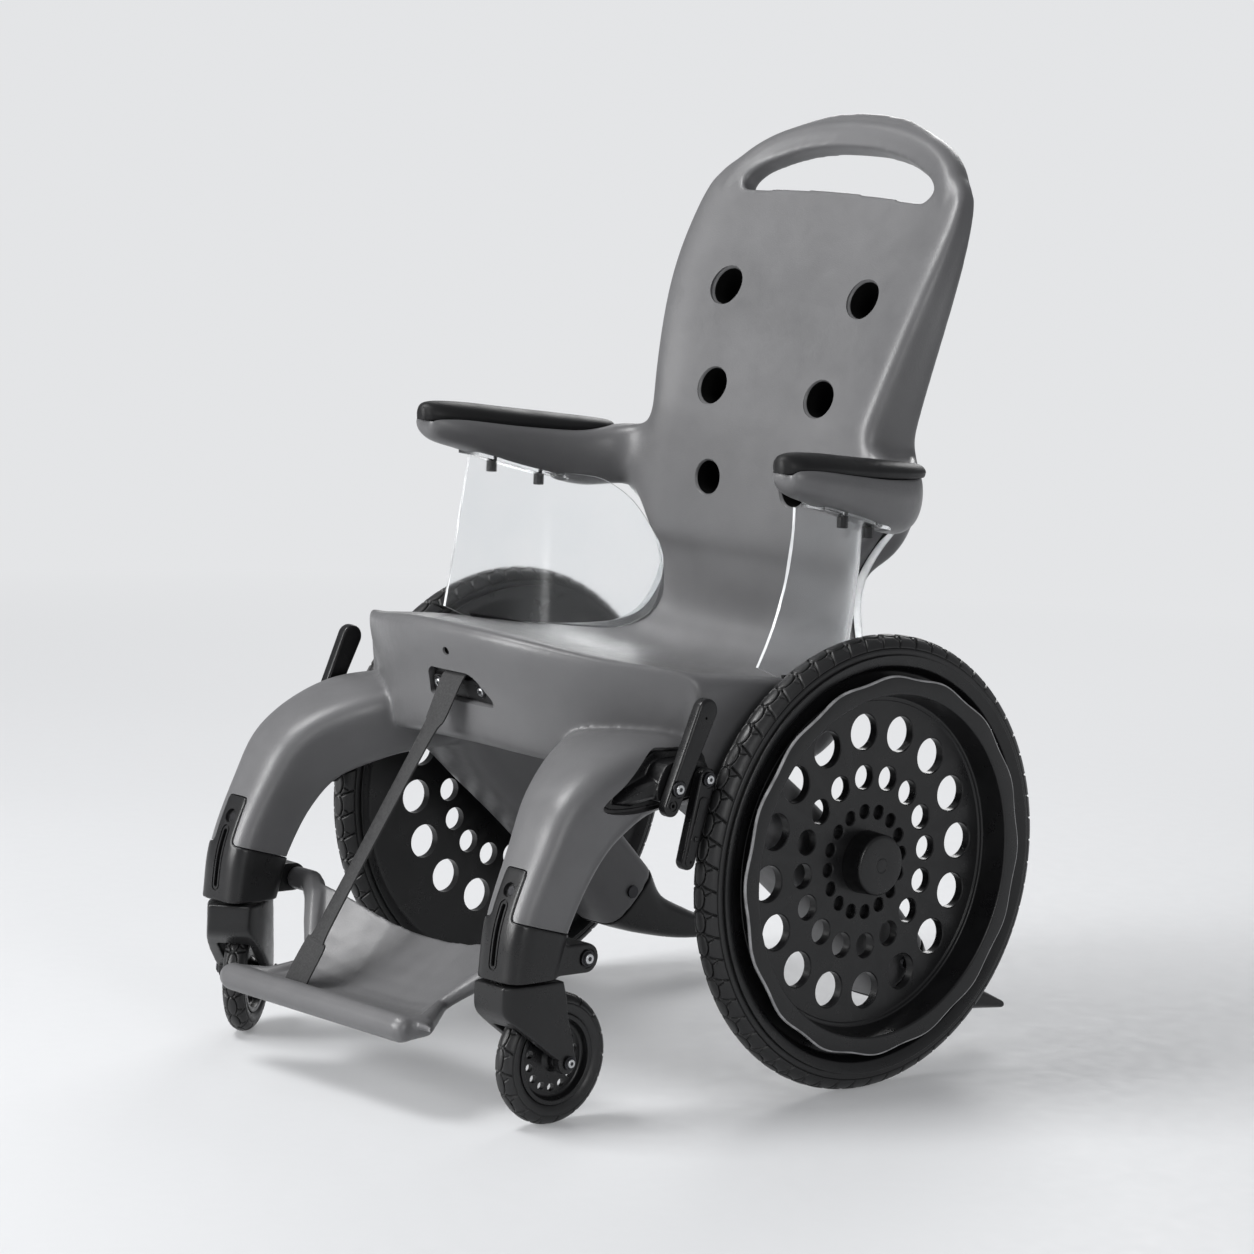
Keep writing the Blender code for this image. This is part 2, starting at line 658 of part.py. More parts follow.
def pin_mesh(side, inner_x, outer_x, y, z, radius, head_radius, head, inner_head=0.0):
    """A pin along X with a head on its outer end, and one on its inner end if asked."""
    rows = [(0.0, radius)]
    if inner_head:
        rows = [(-inner_head, head_radius), (0.0, head_radius), (0.0, radius)]
    length = outer_x - inner_x
    rows += [(length, radius), (length, head_radius), (length + head, head_radius * 0.8)]
    return turned_mesh((side * inner_x, y, z), (side, 0.0, 0.0), rows)


def spine_at(height):
    """Place and slope of the back's middle line at a height."""
    rows = [row for row in SPINE if row[1] >= 0.50 and row[2] > 45]
    heights = [row[1] for row in rows]
    y = float(np.interp(height, heights, [row[0] for row in rows]))
    slope = math.radians(float(np.interp(height, heights, [row[2] for row in rows])))
    return Vector((0.0, y, height)), Vector((0.0, -math.sin(slope), math.cos(slope)))


def add_leg_arches(chair, body):
    for name, side in SIDES:
        rings = [section_ring(row, side) for row in resample(ARCH, 2)]
        arch = add_object("arch_" + name, loft_mesh(rings), chair)
        boolean(body, arch, "UNION")


def cut_back(chair, body):
    """Opens the six back holes, with flared front edges, and the handle slot."""
    for name, side in SIDES:
        for number, (x, height, radius, depth) in enumerate(BACK_HOLES):
            place, normal = spine_at(height)
            place.x = side * x
            rows = ((-0.012, radius + 0.008), (0.001, radius + BACK_HOLE_FLARE), (0.010, radius),
                    (depth, radius), (depth, BACK_DRAIN_RADIUS), (0.120, BACK_DRAIN_RADIUS))
            hole = turned_mesh(place, -normal, rows, 14)
            boolean(body, add_object("back_hole_%s_%d" % (name, number), hole, chair), "DIFFERENCE")
    outline = list(SLOT_LOW) + list(SLOT_HIGH)
    outline += [(-x, height) for x, height in reversed(SLOT_HIGH[:-1])]
    outline += [(-x, height) for x, height in reversed(SLOT_LOW[1:])]
    _, normal = spine_at((SLOT_LOW[0][1] + SLOT_HIGH[-1][1]) / 2)
    rings = []
    for distance in (-0.090, 0.060):
        ring = []
        for x, height in outline:
            place, _ = spine_at(height)
            place.x = x
            ring.append(place + normal * distance)
        rings.append(ring)
    boolean(body, add_object("handle_slot", loft_mesh(rings), chair), "DIFFERENCE")


def leg_middle(row):
    return (row[4] + row[5]) / 2


def sleeve_zone(chair, name, side, grow, tab_grow):
    """The space of a leg sleeve: all below the split line, with the tab up the front."""
    middle = leg_middle(ARCH[1])
    low = (side * middle - 0.060, -0.560, 0.100)
    high = (side * middle + 0.060, -0.360, SLEEVE_SPLIT_Z + grow)
    zone = add_object(name, box_mesh(low, high), chair)
    half = TAB_HALF_WIDTH + tab_grow
    tab = prism_mesh(growth(TAB_ZONE, tab_grow), side * middle - half, side * middle + half)
    boolean(zone, add_object(name + "_tab", tab, chair), "UNION")
    return zone


def leg_core(chair, name, side, inset, floor):
    """The leg's core that fills its sleeve, above the sleeve's floor."""
    rings = [section_ring(row, side, inset) for row in resample(ARCH[:4], 2)]
    core = add_object(name, loft_mesh(rings), chair)
    box = box_mesh((-0.40, -0.60, 0.10), (0.40, -0.30, floor))
    boolean(core, add_object(name + "_floor", box, chair), "DIFFERENCE")
    return core


def screw_rows(clearance):
    return ((-0.020 if clearance else 0.0004, SCREW_HEAD_RADIUS + clearance),
            (0.0035 + clearance, SCREW_HEAD_RADIUS + clearance),
            (0.0035 + clearance, SCREW_SHANK_RADIUS + clearance),
            (0.0210 + clearance, SCREW_SHANK_RADIUS + clearance))


def make_sleeves(chair, body):
    """Black leg sleeves with a lug for the footplate, their screws and the hinge pins."""
    for name, side in SIDES:
        cut = sleeve_zone(chair, "leg_cut_" + name, side, GAP, GAP)
        boolean(cut, leg_core(chair, "leg_core_" + name, side, SLEEVE_WALL + GAP,
                              SLEEVE_FLOOR_Z + GAP), "DIFFERENCE")
        boolean(body, cut, "DIFFERENCE")

        rings = [section_ring(row, side) for row in resample(ARCH[:4], 2)]
        sleeve = add_object("leg_socket_" + name, loft_mesh(rings), chair, "sleeve_black")
        zone = sleeve_zone(chair, "sleeve_zone_" + name, side, 0.0, 0.0)
        boolean(sleeve, zone, "INTERSECT")
        ends = (side * LUG_INNER_X, side * LUG_OUTER_X)
        lug = prism_mesh(stadium((-0.428, 0.188), (HINGE_Y, HINGE_Z), LUG_RADIUS), *ends)
        boolean(sleeve, add_object("lug_" + name, lug, chair), "UNION")
        boolean(sleeve, leg_core(chair, "sleeve_core_" + name, side, SLEEVE_WALL,
                                 SLEEVE_FLOOR_Z), "DIFFERENCE")
        middle = side * leg_middle(ARCH[1])
        ends = (middle - GROOVE_HALF_WIDTH, middle + GROOVE_HALF_WIDTH)
        boolean(sleeve, add_object("groove_" + name, prism_mesh(GROOVE, *ends), chair), "DIFFERENCE")

        inwards = Vector((0.0, -SCREW_NORMAL[0], -SCREW_NORMAL[1]))
        start = (middle, *SCREW_POINT)
        screw = turned_mesh(start, inwards, screw_rows(0.0), 12)
        add_object("socket_screw_" + name, screw, chair, "steel")
        hole = add_object("screw_hole_" + name, turned_mesh(start, inwards, screw_rows(GAP), 12),
                          chair)
        boolean(sleeve, hole, "DIFFERENCE")
        boolean(body, hole, "DIFFERENCE")

        bore = cylinder_mesh([((side * 0.18, HINGE_Y, HINGE_Z), (side * 0.30, HINGE_Y, HINGE_Z),
                               HINGE_PIN_RADIUS + GAP)])
        boolean(sleeve, add_object("lug_bore_" + name, bore, chair), "DIFFERENCE")
        stem_bore = cylinder_mesh([((side * CASTER_X, CASTER_SWIVEL_Y, 0.10),
                                    (side * CASTER_X, CASTER_SWIVEL_Y, STEM_TOP + 0.001),
                                    STEM_RADIUS + GAP)])
        boolean(sleeve, add_object("stem_bore_" + name, stem_bore, chair), "DIFFERENCE")
        pin = pin_mesh(side, KNUCKLE_INNER_X - 0.008, LUG_OUTER_X + GAP, HINGE_Y, HINGE_Z,
                       HINGE_PIN_RADIUS, HINGE_HEAD_RADIUS, 0.004)
        add_object("footplate_bolt_" + name, pin, chair, "steel")


def rolled_edge_mesh(name, side):
    """The thick edge of the footplate, from the bar's end up to the hinge knuckle."""
    rows = resample(EDGE_ROLL_LOW[name] + EDGE_ROLL, 1)
    rings = []
    for number, (x, y, z, radius) in enumerate(rows):
        before, after = rows[max(0, number - 1)], rows[min(len(rows) - 1, number + 1)]
        heading = Vector((after[0] - before[0], after[1] - before[1], after[2] - before[2]))
        across = heading.cross((0.0, 0.0, 1.0)).normalized()
        above = across.cross(heading).normalized()
        ring = []
        for step in range(8):
            angle = 2 * PI * (step + 0.5) / 8
            spot = Vector((x, y - HINGE_Y, z - HINGE_Z))
            spot += (across * math.cos(angle) + above * math.sin(angle)) * radius
            ring.append((side * spot.x, spot.y, spot.z))
        rings.append(ring)
    return loft_mesh(rings)


def make_footplate(chair):
    """A waisted scoop with a rolled front bar and two hinge arms, turning about the lugs."""
    hinge = make_empty("footplate_hinge", (0.0, HINGE_Y, HINGE_Z), chair)
    across = []
    for row in FOOT_ROWS:
        mirrored = [(-point[0], point[1], point[2]) for point in reversed(row[1:])]
        across.append(resample(mirrored + list(row), 2))
    along = [resample([row[step] for row in across], 2) for step in range(len(across[0]))]
    columns, rows = len(along), len(along[0])
    points = [Vector(along[column][row]) - Vector((0.0, HINGE_Y, HINGE_Z))
              for row in range(rows) for column in range(columns)]
    faces = []
    for row in range(rows - 1):
        for column in range(columns - 1):
            spot = row * columns + column
            faces.append((spot, spot + 1, spot + 1 + columns, spot + columns))
    plate = add_object("footplate", mesh_of(points, faces), hinge, "body_grey")
    sheet = plate.modifiers.new("sheet", "SOLIDIFY")
    sheet.thickness = FOOT_SHEET
    sheet.offset = 0.0
    sheet.use_even_offset = True
    place = (0.0, BAR_Y - HINGE_Y, BAR_Z - HINGE_Z)
    rows = [(0.0, 0.45 * BAR_RADIUS), (0.25 * BAR_RADIUS, 0.80 * BAR_RADIUS),
            (0.8 * BAR_RADIUS, BAR_RADIUS)]
    rows += [(BAR_HALF + BAR_LEFT_END - distance, radius) for distance, radius in reversed(rows)]
    bar = turned_mesh((-BAR_HALF, place[1], place[2]), (1.0, 0.0, 0.0), rows, 14)
    boolean(plate, add_object("footplate_bar", bar, hinge), "UNION")
    for name, side in SIDES:
        edge = add_object("rolled_edge_" + name, rolled_edge_mesh(name, side), hinge)
        boolean(plate, edge, "UNION")
        knuckle = turned_mesh((side * KNUCKLE_INNER_X, 0.0, 0.0), (side, 0.0, 0.0),
                              ((-0.008, 0.6 * KNUCKLE_RADIUS), (0.0, KNUCKLE_RADIUS),
                               (LUG_INNER_X - GAP - KNUCKLE_INNER_X, KNUCKLE_RADIUS)))
        boolean(plate, add_object("knuckle_" + name, knuckle, hinge), "UNION")
        bore = cylinder_mesh([((side * (KNUCKLE_INNER_X - 0.009), 0.0, 0.0), (side * 0.30, 0.0, 0.0),
                               HINGE_PIN_RADIUS + GAP)])
        boolean(plate, add_object("knuckle_bore_" + name, bore, hinge), "DIFFERENCE")
    return plate


def strap_mesh(grow):
    """The webbing as a loft, wider by the growth on every side."""
    rings = []
    for number, (x, y, z, width) in enumerate(STRAP):
        before = Vector(STRAP[max(0, number - 1)][:3])
        after = Vector(STRAP[min(len(STRAP) - 1, number + 1)][:3])
        direction = (after - before).normalized()
        flat = Vector((1.0, 0.0, 0.0))
        flat = (flat - direction * flat.dot(direction)).normalized()
        normal = direction.cross(flat)
        place = Vector((x, y, z))
        if number in (0, len(STRAP) - 1):
            place += direction * (grow * (4.0 if number else -4.0))
        half, thick = width / 2 + grow, STRAP_THICKNESS / 2 + grow
        rings.append([place + flat * half * one + normal * thick * two
                      for one, two in ((-1, -1), (1, -1), (1, 1), (-1, 1))])
    return loft_mesh(rings, True)


def bracket_point(x, up, out):
    """A place on the strap bracket: across, up along its face, and out from its middle."""
    return Vector((x, BRACKET_CENTRE[1] - up * math.sin(BRACKET_TILT) - out * math.cos(BRACKET_TILT),
                   BRACKET_CENTRE[2] + up * math.cos(BRACKET_TILT) - out * math.sin(BRACKET_TILT)))


def bracket_outline(grow):
    """The plate's outline: a long plate with cut corners, lower at its ends."""
    half, tall = BRACKET_WIDTH / 2 + grow, BRACKET_HEIGHT / 2 + grow
    return ((-half, -tall), (half, -tall), (half, -0.2 * tall), (0.70 * half, 0.75 * tall),
            (0.45 * half, tall), (-0.45 * half, tall), (-0.70 * half, 0.75 * tall),
            (-half, -0.2 * tall))


def make_strap(chair, body, plate):
    """The strap, and its bracket in a recess at the front of the seat."""
    add_object("footplate_strap", strap_mesh(0.0), chair, "webbing_black")
    clearance = add_object("strap_clearance", strap_mesh(GAP), chair)
    boolean(plate, clearance, "DIFFERENCE")
    boolean(body, clearance, "DIFFERENCE")
    half = BRACKET_THICKNESS / 2
    recess = loft_mesh([[bracket_point(x, up, out) for x, up in bracket_outline(0.002)]
                        for out in (-half - GAP, 0.080)])
    boolean(body, add_object("bracket_recess", recess, chair), "DIFFERENCE")
    bracket = loft_mesh([[bracket_point(x, up, out) for x, up in bracket_outline(0.0)]
                         for out in (-half, half)])
    bracket = add_object("strap_bracket", bracket, chair, "sleeve_black")
    boolean(bracket, clearance, "DIFFERENCE")
    inwards = bracket_point(0.0, 0.0, -1.0) - bracket_point(0.0, 0.0, 0.0)
    for name, side in SIDES:
        start = bracket_point(side * BRACKET_BOLT_SPACING / 2, -0.004, half + GAP)
        rows = ((-0.0030, 0.8 * BRACKET_HEAD_RADIUS), (0.0, BRACKET_HEAD_RADIUS),
                (0.0, BRACKET_BOLT_RADIUS), (0.020, BRACKET_BOLT_RADIUS))
        add_object("strap_bolt_" + name, turned_mesh(start, inwards, rows, 12), chair, "steel")
        rows = ((-0.001, BRACKET_BOLT_RADIUS + GAP), (0.021, BRACKET_BOLT_RADIUS + GAP))
        hole = add_object("strap_bolt_hole_" + name, turned_mesh(start, inwards, rows, 12), chair)
        boolean(bracket, hole, "DIFFERENCE")
        boolean(body, hole, "DIFFERENCE")


def panel_mesh(side, grow):
    """A clear panel as a loft along its plan curve, each section bulging outwards."""
    rows = resample(PANEL, 1)
    rings = []
    for number, row in enumerate(rows):
        before, after = rows[max(0, number - 1)], rows[min(len(rows) - 1, number + 1)]
        ring = []
        for which in (-1, 1):
            column = []
            for share in (0.0, 0.5, 1.0):
                place = Vector(row[:3]).lerp(Vector(row[3:6]), share)
                place += Vector((row[6], 0.9 * row[6], 0.0)) * (1.0 if share == 0.5 else 0.0)
                place.z += grow * (2 * share - 1)
                ahead = Vector(before[:3]).lerp(Vector(before[3:6]), share)
                behind = Vector(after[:3]).lerp(Vector(after[3:6]), share)
                heading = Vector((behind.x - ahead.x, behind.y - ahead.y, 0.0)).normalized()
                outwards = Vector((heading.y, -heading.x, 0.0))
                place += outwards * which * (PANEL_THICKNESS / 2 + grow)
                if number in (0, len(rows) - 1):
                    place += heading * (grow if number else -grow)
                column.append((side * place.x, place.y, place.z))
            ring += column if which < 0 else list(reversed(column))
        rings.append(ring)
    return loft_mesh(rings, True)


def flange_mesh(side, grow, depth=0.0):
    """The panel's flange under the arm, or with a depth the space that it clears below it."""
    rings = []
    for number, (y, inner, outer, top) in enumerate(FLANGE):
        y += grow * ((number == len(FLANGE) - 1) - (number == 0))
        low, high = top - PANEL_THICKNESS - grow - depth, top + grow
        inner, outer = inner - grow, outer + grow
        rings.append([(side * inner, y, low), (side * outer, y, low),
                      (side * outer, y, high), (side * inner, y, high)])
    return loft_mesh(rings)


def gasket_mesh(side, grow):
    """The seal along the panel's lower edge, on top of the seat's side."""
    rings = []
    first, last = GASKET_ROWS
    for number, row in enumerate(PANEL[first:last + 1]):
        y = row[1] + grow * ((number == last - first) - (number == 0))
        half = GASKET_WIDTH / 2 + grow
        low, high = row[2] - GASKET_HEIGHT / 2 - grow, row[2] + GASKET_HEIGHT / 2 + grow
        rings.append([(side * (row[0] - half), y, low), (side * (row[0] + half), y, low),
                      (side * (row[0] + half), y, high), (side * (row[0] - half), y, high)])
    return loft_mesh(rings, True)


def make_panels(chair, body):
    """Clear side panels in grooves of the body, their seals, and the knobs that clamp them."""
    for name, side in SIDES:
        panel = add_object("side_panel_" + name, panel_mesh(side, 0.0), chair, "clear_panel")
        flange = add_object("flange_" + name, flange_mesh(side, 0.0), chair)
        boolean(panel, flange, "UNION")
        groove = add_object("panel_groove_" + name, panel_mesh(side, GAP), chair)
        seat = add_object("flange_seat_" + name, flange_mesh(side, GAP, KNOB_HEIGHT), chair)
        boolean(body, groove, "DIFFERENCE")
        boolean(body, seat, "DIFFERENCE")
        gasket = add_object("panel_gasket_" + name, gasket_mesh(side, 0.0), chair, "rubber_black")
        boolean(gasket, groove, "DIFFERENCE")
        boolean(body, add_object("gasket_seat_" + name, gasket_mesh(side, GAP), chair), "DIFFERENCE")
        for number, (x, y) in enumerate(KNOBS):
            place = ("front", "rear")[number]
            top = float(np.interp(y, [row[0] for row in FLANGE], [row[3] for row in FLANGE]))
            start = (side * x, y, top - PANEL_THICKNESS - GAP)
            rows = ((0.012, KNOB_STUD_RADIUS), (0.0, KNOB_STUD_RADIUS), (0.0, KNOB_RADIUS),
                    (-KNOB_HEIGHT, KNOB_RADIUS))
            knob = turned_mesh(start, (0.0, 0.0, 1.0), rows, 12)
            add_object("panel_knob_%s_%s" % (place, name), knob, chair, "sleeve_black")
            rows = ((0.0125, KNOB_STUD_RADIUS + GAP), (-0.001, KNOB_STUD_RADIUS + GAP))
            hole = add_object("knob_hole_%s_%s" % (place, name),
                              turned_mesh(start, (0.0, 0.0, 1.0), rows, 12), chair)
            boolean(panel, hole, "DIFFERENCE")
            boolean(body, hole, "DIFFERENCE")
            rows = ((GAP, KNOB_RADIUS + 0.0015), (-KNOB_HEIGHT - 0.010, KNOB_RADIUS + 0.0015))
            space = add_object("knob_space_%s_%s" % (place, name),
                               turned_mesh(start, (0.0, 0.0, 1.0), rows, 12), chair)
            boolean(panel, space, "DIFFERENCE")
            boolean(body, space, "DIFFERENCE")


def pad_mesh(side, grow):
    """An armrest pad: rounded on top, flat below, narrow at both ends."""
    rings = []
    rows = resample(PAD, 1)
    for number, (x, y, half, top) in enumerate(rows):
        before, after = rows[max(0, number - 1)], rows[min(len(rows) - 1, number + 1)]
        heading = Vector((after[0] - before[0], after[1] - before[1], 0.0)).normalized()
        across = Vector((heading.y, -heading.x, 0.0))
        rise = PAD_HEIGHT * min(1.0, 0.45 + 0.55 * half / 0.024)
        place = Vector((x, y, 0.0))
        if number in (0, len(rows) - 1):
            place += heading * (grow if number else -grow)
        ring = []
        for share, height in ((-0.86, -1.0), (0.86, -1.0), (1.0, -0.1), (0.96, 0.45), (0.72, 0.80),
                              (0.30, 0.98), (-0.30, 0.98), (-0.72, 0.80), (-0.96, 0.45), (-1.0, -0.1)):
            level = top + (rise * height if height > 0 else PAD_SINK * height)
            spot = place + across * share * (half + grow)
            level += grow if height > 0 else -grow
            ring.append((side * spot.x, spot.y, level))
        rings.append(ring)
    return loft_mesh(rings, True)


def make_pads(chair, body):
    for name, side in SIDES:
        add_object("armrest_pad_" + name, pad_mesh(side, 0.0), chair, "pad_black")
        boolean(body, add_object("pad_seat_" + name, pad_mesh(side, GAP), chair), "DIFFERENCE")


def make_rear_feet(chair, body):
    """Dark feet behind the rear wheels, with a tenon and a cross bolt in the leg's end."""
    end = ARCH[-1]
    heading = math.radians(end[2])
    step_y, step_z = math.cos(heading), math.sin(heading)

    def shifted(distance):
        return (end[0] + step_y * distance, end[1] + step_z * distance, *end[2:])

    for name, side in SIDES:
        rows = [shifted(GAP)] + list(REAR_FOOT[1:])
        foot = add_object("rear_foot_" + name, loft_mesh([section_ring(row, side) for row in rows]),
                          chair, "sleeve_black")
        tenon = [section_ring(shifted(distance), side, FOOT_TENON_INSET)
                 for distance in (-FOOT_TENON, 0.010)]
        boolean(foot, add_object("foot_tenon_" + name, loft_mesh(tenon), chair), "UNION")
        pocket = [section_ring(shifted(distance), side, FOOT_TENON_INSET - GAP)
                  for distance in (-FOOT_TENON - GAP, 0.010)]
        boolean(body, add_object("foot_pocket_" + name, loft_mesh(pocket), chair), "DIFFERENCE")
        spot = shifted(-FOOT_TENON / 2)
        bolt = pin_mesh(side, end[4] - GAP, end[5] + 0.0005 + GAP, spot[0], spot[1], FOOT_BOLT_RADIUS,
                        FOOT_BOLT_HEAD, 0.003, 0.003)
        add_object("rear_foot_bolt_" + name, bolt, chair, "steel")
        bore = cylinder_mesh([((side * 0.15, spot[0], spot[1]), (side * 0.32, spot[0], spot[1]),
                               FOOT_BOLT_RADIUS + GAP)])
        bore = add_object("foot_bolt_bore_" + name, bore, chair)
        boolean(foot, bore, "DIFFERENCE")
        boolean(body, bore, "DIFFERENCE")


def make_brakes(chair, body):
    """Brake block in the leg's outer face, with a hand lever and the shoe that it moves."""
    for name, side in SIDES:
        outer = BRAKE_INNER_X - GAP
        block = prism_mesh(BRAKE_BLOCK, side * BRAKE_BLOCK_INNER_X, side * outer)
        block = add_object("brake_bracket_" + name, block, chair, "sleeve_black")
        pocket = prism_mesh(growth(BRAKE_BLOCK, BRAKE_POCKET_CLEAR),
                            side * (BRAKE_BLOCK_INNER_X - GAP), side * 0.32)
        boolean(body, add_object("brake_pocket_" + name, pocket, chair), "DIFFERENCE")
        arms = (("lever", LEVER_PIVOT, LEVER_TAIL, LEVER_TOP, LEVER_TAIL_HALF, LEVER_HALF_WIDTH),
                ("shoe", SHOE_PIVOT, SHOE_PIVOT, SHOE_END, 0.0120, SHOE_HALF_WIDTH))
        for kind, pivot, start, end, half, end_half in arms:
            joint = make_empty("%s_pivot_%s" % (kind, name), (side * BRAKE_INNER_X, *pivot), chair)
            near = (start[0] - pivot[0], start[1] - pivot[1])
            far = (end[0] - pivot[0], end[1] - pivot[1])
            shape = prism_mesh(stadium(near, far, half, 6, end_half), 0.0, side * BRAKE_ARM_THICKNESS)
            arm = add_object("brake_%s_%s" % (kind, name), shape, joint, "sleeve_black")
            bore = cylinder_mesh([((side * -0.05, 0.0, 0.0), (side * 0.05, 0.0, 0.0),
                                   PIVOT_RADIUS + GAP)])
            boolean(arm, add_object("%s_bore_%s" % (kind, name), bore, joint), "DIFFERENCE")
            pin = pin_mesh(side, BRAKE_BLOCK_INNER_X + 0.012,
                           BRAKE_INNER_X + BRAKE_ARM_THICKNESS + GAP, *pivot, PIVOT_RADIUS,
                           PIVOT_HEAD_RADIUS, 0.003)
            add_object("brake_%s_pivot_%s" % (kind, name), pin, chair, "steel")
            hole = cylinder_mesh([((side * (BRAKE_BLOCK_INNER_X + 0.0115), *pivot),
                                   (side * 0.33, *pivot), PIVOT_RADIUS + GAP)])
            boolean(block, add_object("%s_hole_%s" % (kind, name), hole, chair), "DIFFERENCE")


def rear_wheel_profile():
    """The disc, hand-rim and tyre channel, as (radius, outboard height) round a closed loop."""
    bore = AXLE_RADIUS + GAP
    back = DISC_FACE - DISC_THICKNESS
    reach = HANDRIM_REACH
    section = TYRE_SECTION
    wall = HANDRIM_INNER + 0.0053
    return ((bore, DISC_FACE), (DISH_RADIUS, DISC_FACE), (HANDRIM_INNER, reach), (HANDRIM_OUTER, reach),
            (HANDRIM_OUTER, reach - HANDRIM_LIP), (wall + 0.001, reach - HANDRIM_LIP - 0.001),
            (wall, 0.0060), (CHANNEL_FLOOR - 0.009, 0.0060), (CHANNEL_FLOOR - 0.0035, 0.0180),
            (RIM_EDGE, 0.0215), (RIM_EDGE, section), (CHANNEL_FLOOR, 0.0150),
            (CHANNEL_FLOOR, -0.0150), (RIM_EDGE, -section), (RIM_EDGE, -0.0215),
            (CHANNEL_FLOOR - 0.006, back), (HUB_RADIUS, back), (HUB_RADIUS, HUB_INBOARD),
            (bore, HUB_INBOARD))


def tyre_profile(radius, section, edge, foot, foot_half):
    """A tyre's section as a closed loop, from its outboard foot over the tread."""
    middle = radius - section
    reach = math.acos((edge - middle) / section)
    loop = []
    for step in range(7):
        angle = reach * (1 - step / 3)
        loop.append((middle + section * math.cos(angle), section * math.sin(angle)))
    start = (foot + GAP, foot_half - GAP)
    return [start] + [loop[0]] + loop[1:-1] + [loop[-1], (start[0], -start[1])]


def swept_wheel(name, profile, steps, joint, material, side, wave_rows=()):
    """A wheel as sections swept round local Z, with waves on the named rows of its profile."""
    points, faces = [], []
    count = len(profile)
    for step in range(steps):
        angle = 2 * PI * step / steps
        wave = HANDRIM_WAVE * (1 - math.cos(HANDRIM_WAVES * angle)) / 2
        for number, (radius, height) in enumerate(profile):
            size = radius - (wave if number in wave_rows else 0.0)
            points.append((size * math.cos(angle), size * math.sin(angle), height))
        for number in range(count):
            after, ahead = (number + 1) % count, (step + 1) % steps
            faces.append((step * count + number, step * count + after,
                          ahead * count + after, ahead * count + number))
    obj = add_object(name, face_outwards(mesh_of(points, faces)), joint, material)
    obj.rotation_euler = (0.0, side * PI / 2, 0.0)
    return obj


def make_rear_wheels(chair, body):
    """Rear wheels with three rings of holes and a wavy hand-rim, tyres, caps and axles."""
    for name, side in SIDES:
        joint = make_empty("rear_hub_" + name, (side * WHEEL_TRACK_HALF, 0.0, WHEEL_RADIUS), chair)
        wheel = swept_wheel("rear_wheel_" + name, rear_wheel_profile(), WHEEL_STEPS, joint,
                            "wheel_black", side, (3, 4))
        holes = bmesh.new()
        for ring_share, radius_share, segments in HOLE_RINGS:
            ring, radius = ring_share * DISH_RADIUS, radius_share * DISH_RADIUS
            for step in range(HOLES_PER_RING):
                angle = side * HOLE_PHASE + 2 * PI * step / HOLES_PER_RING
                place = Matrix.Translation((ring * math.cos(angle), ring * math.sin(angle), -0.010))
                bmesh.ops.create_cone(holes, cap_ends=True, segments=segments, radius1=radius,
                                      radius2=radius, depth=0.05, matrix=place)
        mesh = bpy.data.meshes.new("wheel_holes")
        holes.to_mesh(mesh)
        holes.free()
        cutter = add_object("wheel_holes_" + name, mesh, joint)
        cutter.rotation_euler = wheel.rotation_euler
        boolean(wheel, cutter, "DIFFERENCE")
        profile = tyre_profile(WHEEL_RADIUS, TYRE_SECTION, RIM_EDGE, CHANNEL_FLOOR, 0.0150)
        swept_wheel("rear_tyre_" + name, profile, WHEEL_STEPS, joint, "rubber_black", side)
        bore = AXLE_RADIUS + 0.001
        cap = turned_mesh((0.0, 0.0, 0.0), (0.0, 0.0, 1.0),
                          ((AXLE_END + 0.001, bore), (DISC_FACE + GAP, bore),
                           (DISC_FACE + GAP, CAP_RADIUS), (CAP_FRONT - 0.011, CAP_RADIUS),
                           (CAP_FRONT - 0.003, CAP_RADIUS - 0.003), (CAP_FRONT, CAP_RADIUS - 0.010)),
                          24)
        cap = add_object("hub_cap_" + name, cap, joint, "wheel_black")
        cap.rotation_euler = wheel.rotation_euler
        height = WHEEL_RADIUS
        end = WHEEL_TRACK_HALF + AXLE_END
        axle = cylinder_mesh([((side * AXLE_INNER_X, 0.0, height), (side * end, 0.0, height),
                               AXLE_RADIUS)], 20)
        add_object("rear_axle_" + name, axle, chair, "steel")
        bore = cylinder_mesh([((side * (AXLE_INNER_X - GAP), 0.0, height), (side * 0.32, 0.0, height),
                               AXLE_RADIUS + GAP)], 20)
        boolean(body, add_object("axle_bore_" + name, bore, chair), "DIFFERENCE")


def caster_wheel_profile():
    bore = CASTER_AXLE_RADIUS + 0.0005
    hub, rim = CASTER_HUB_HALF, CASTER_RIM_HALF
    edge = CASTER_RIM_EDGE
    half = ((bore, hub), (0.0110, hub), (0.0130, 0.0080), (edge - 0.0082, 0.0060),
            (edge - 0.0062, rim), (edge - 0.0002, rim), (edge - 0.0012, 0.0095))
    return list(half) + [(radius, -height) for radius, height in reversed(half)]


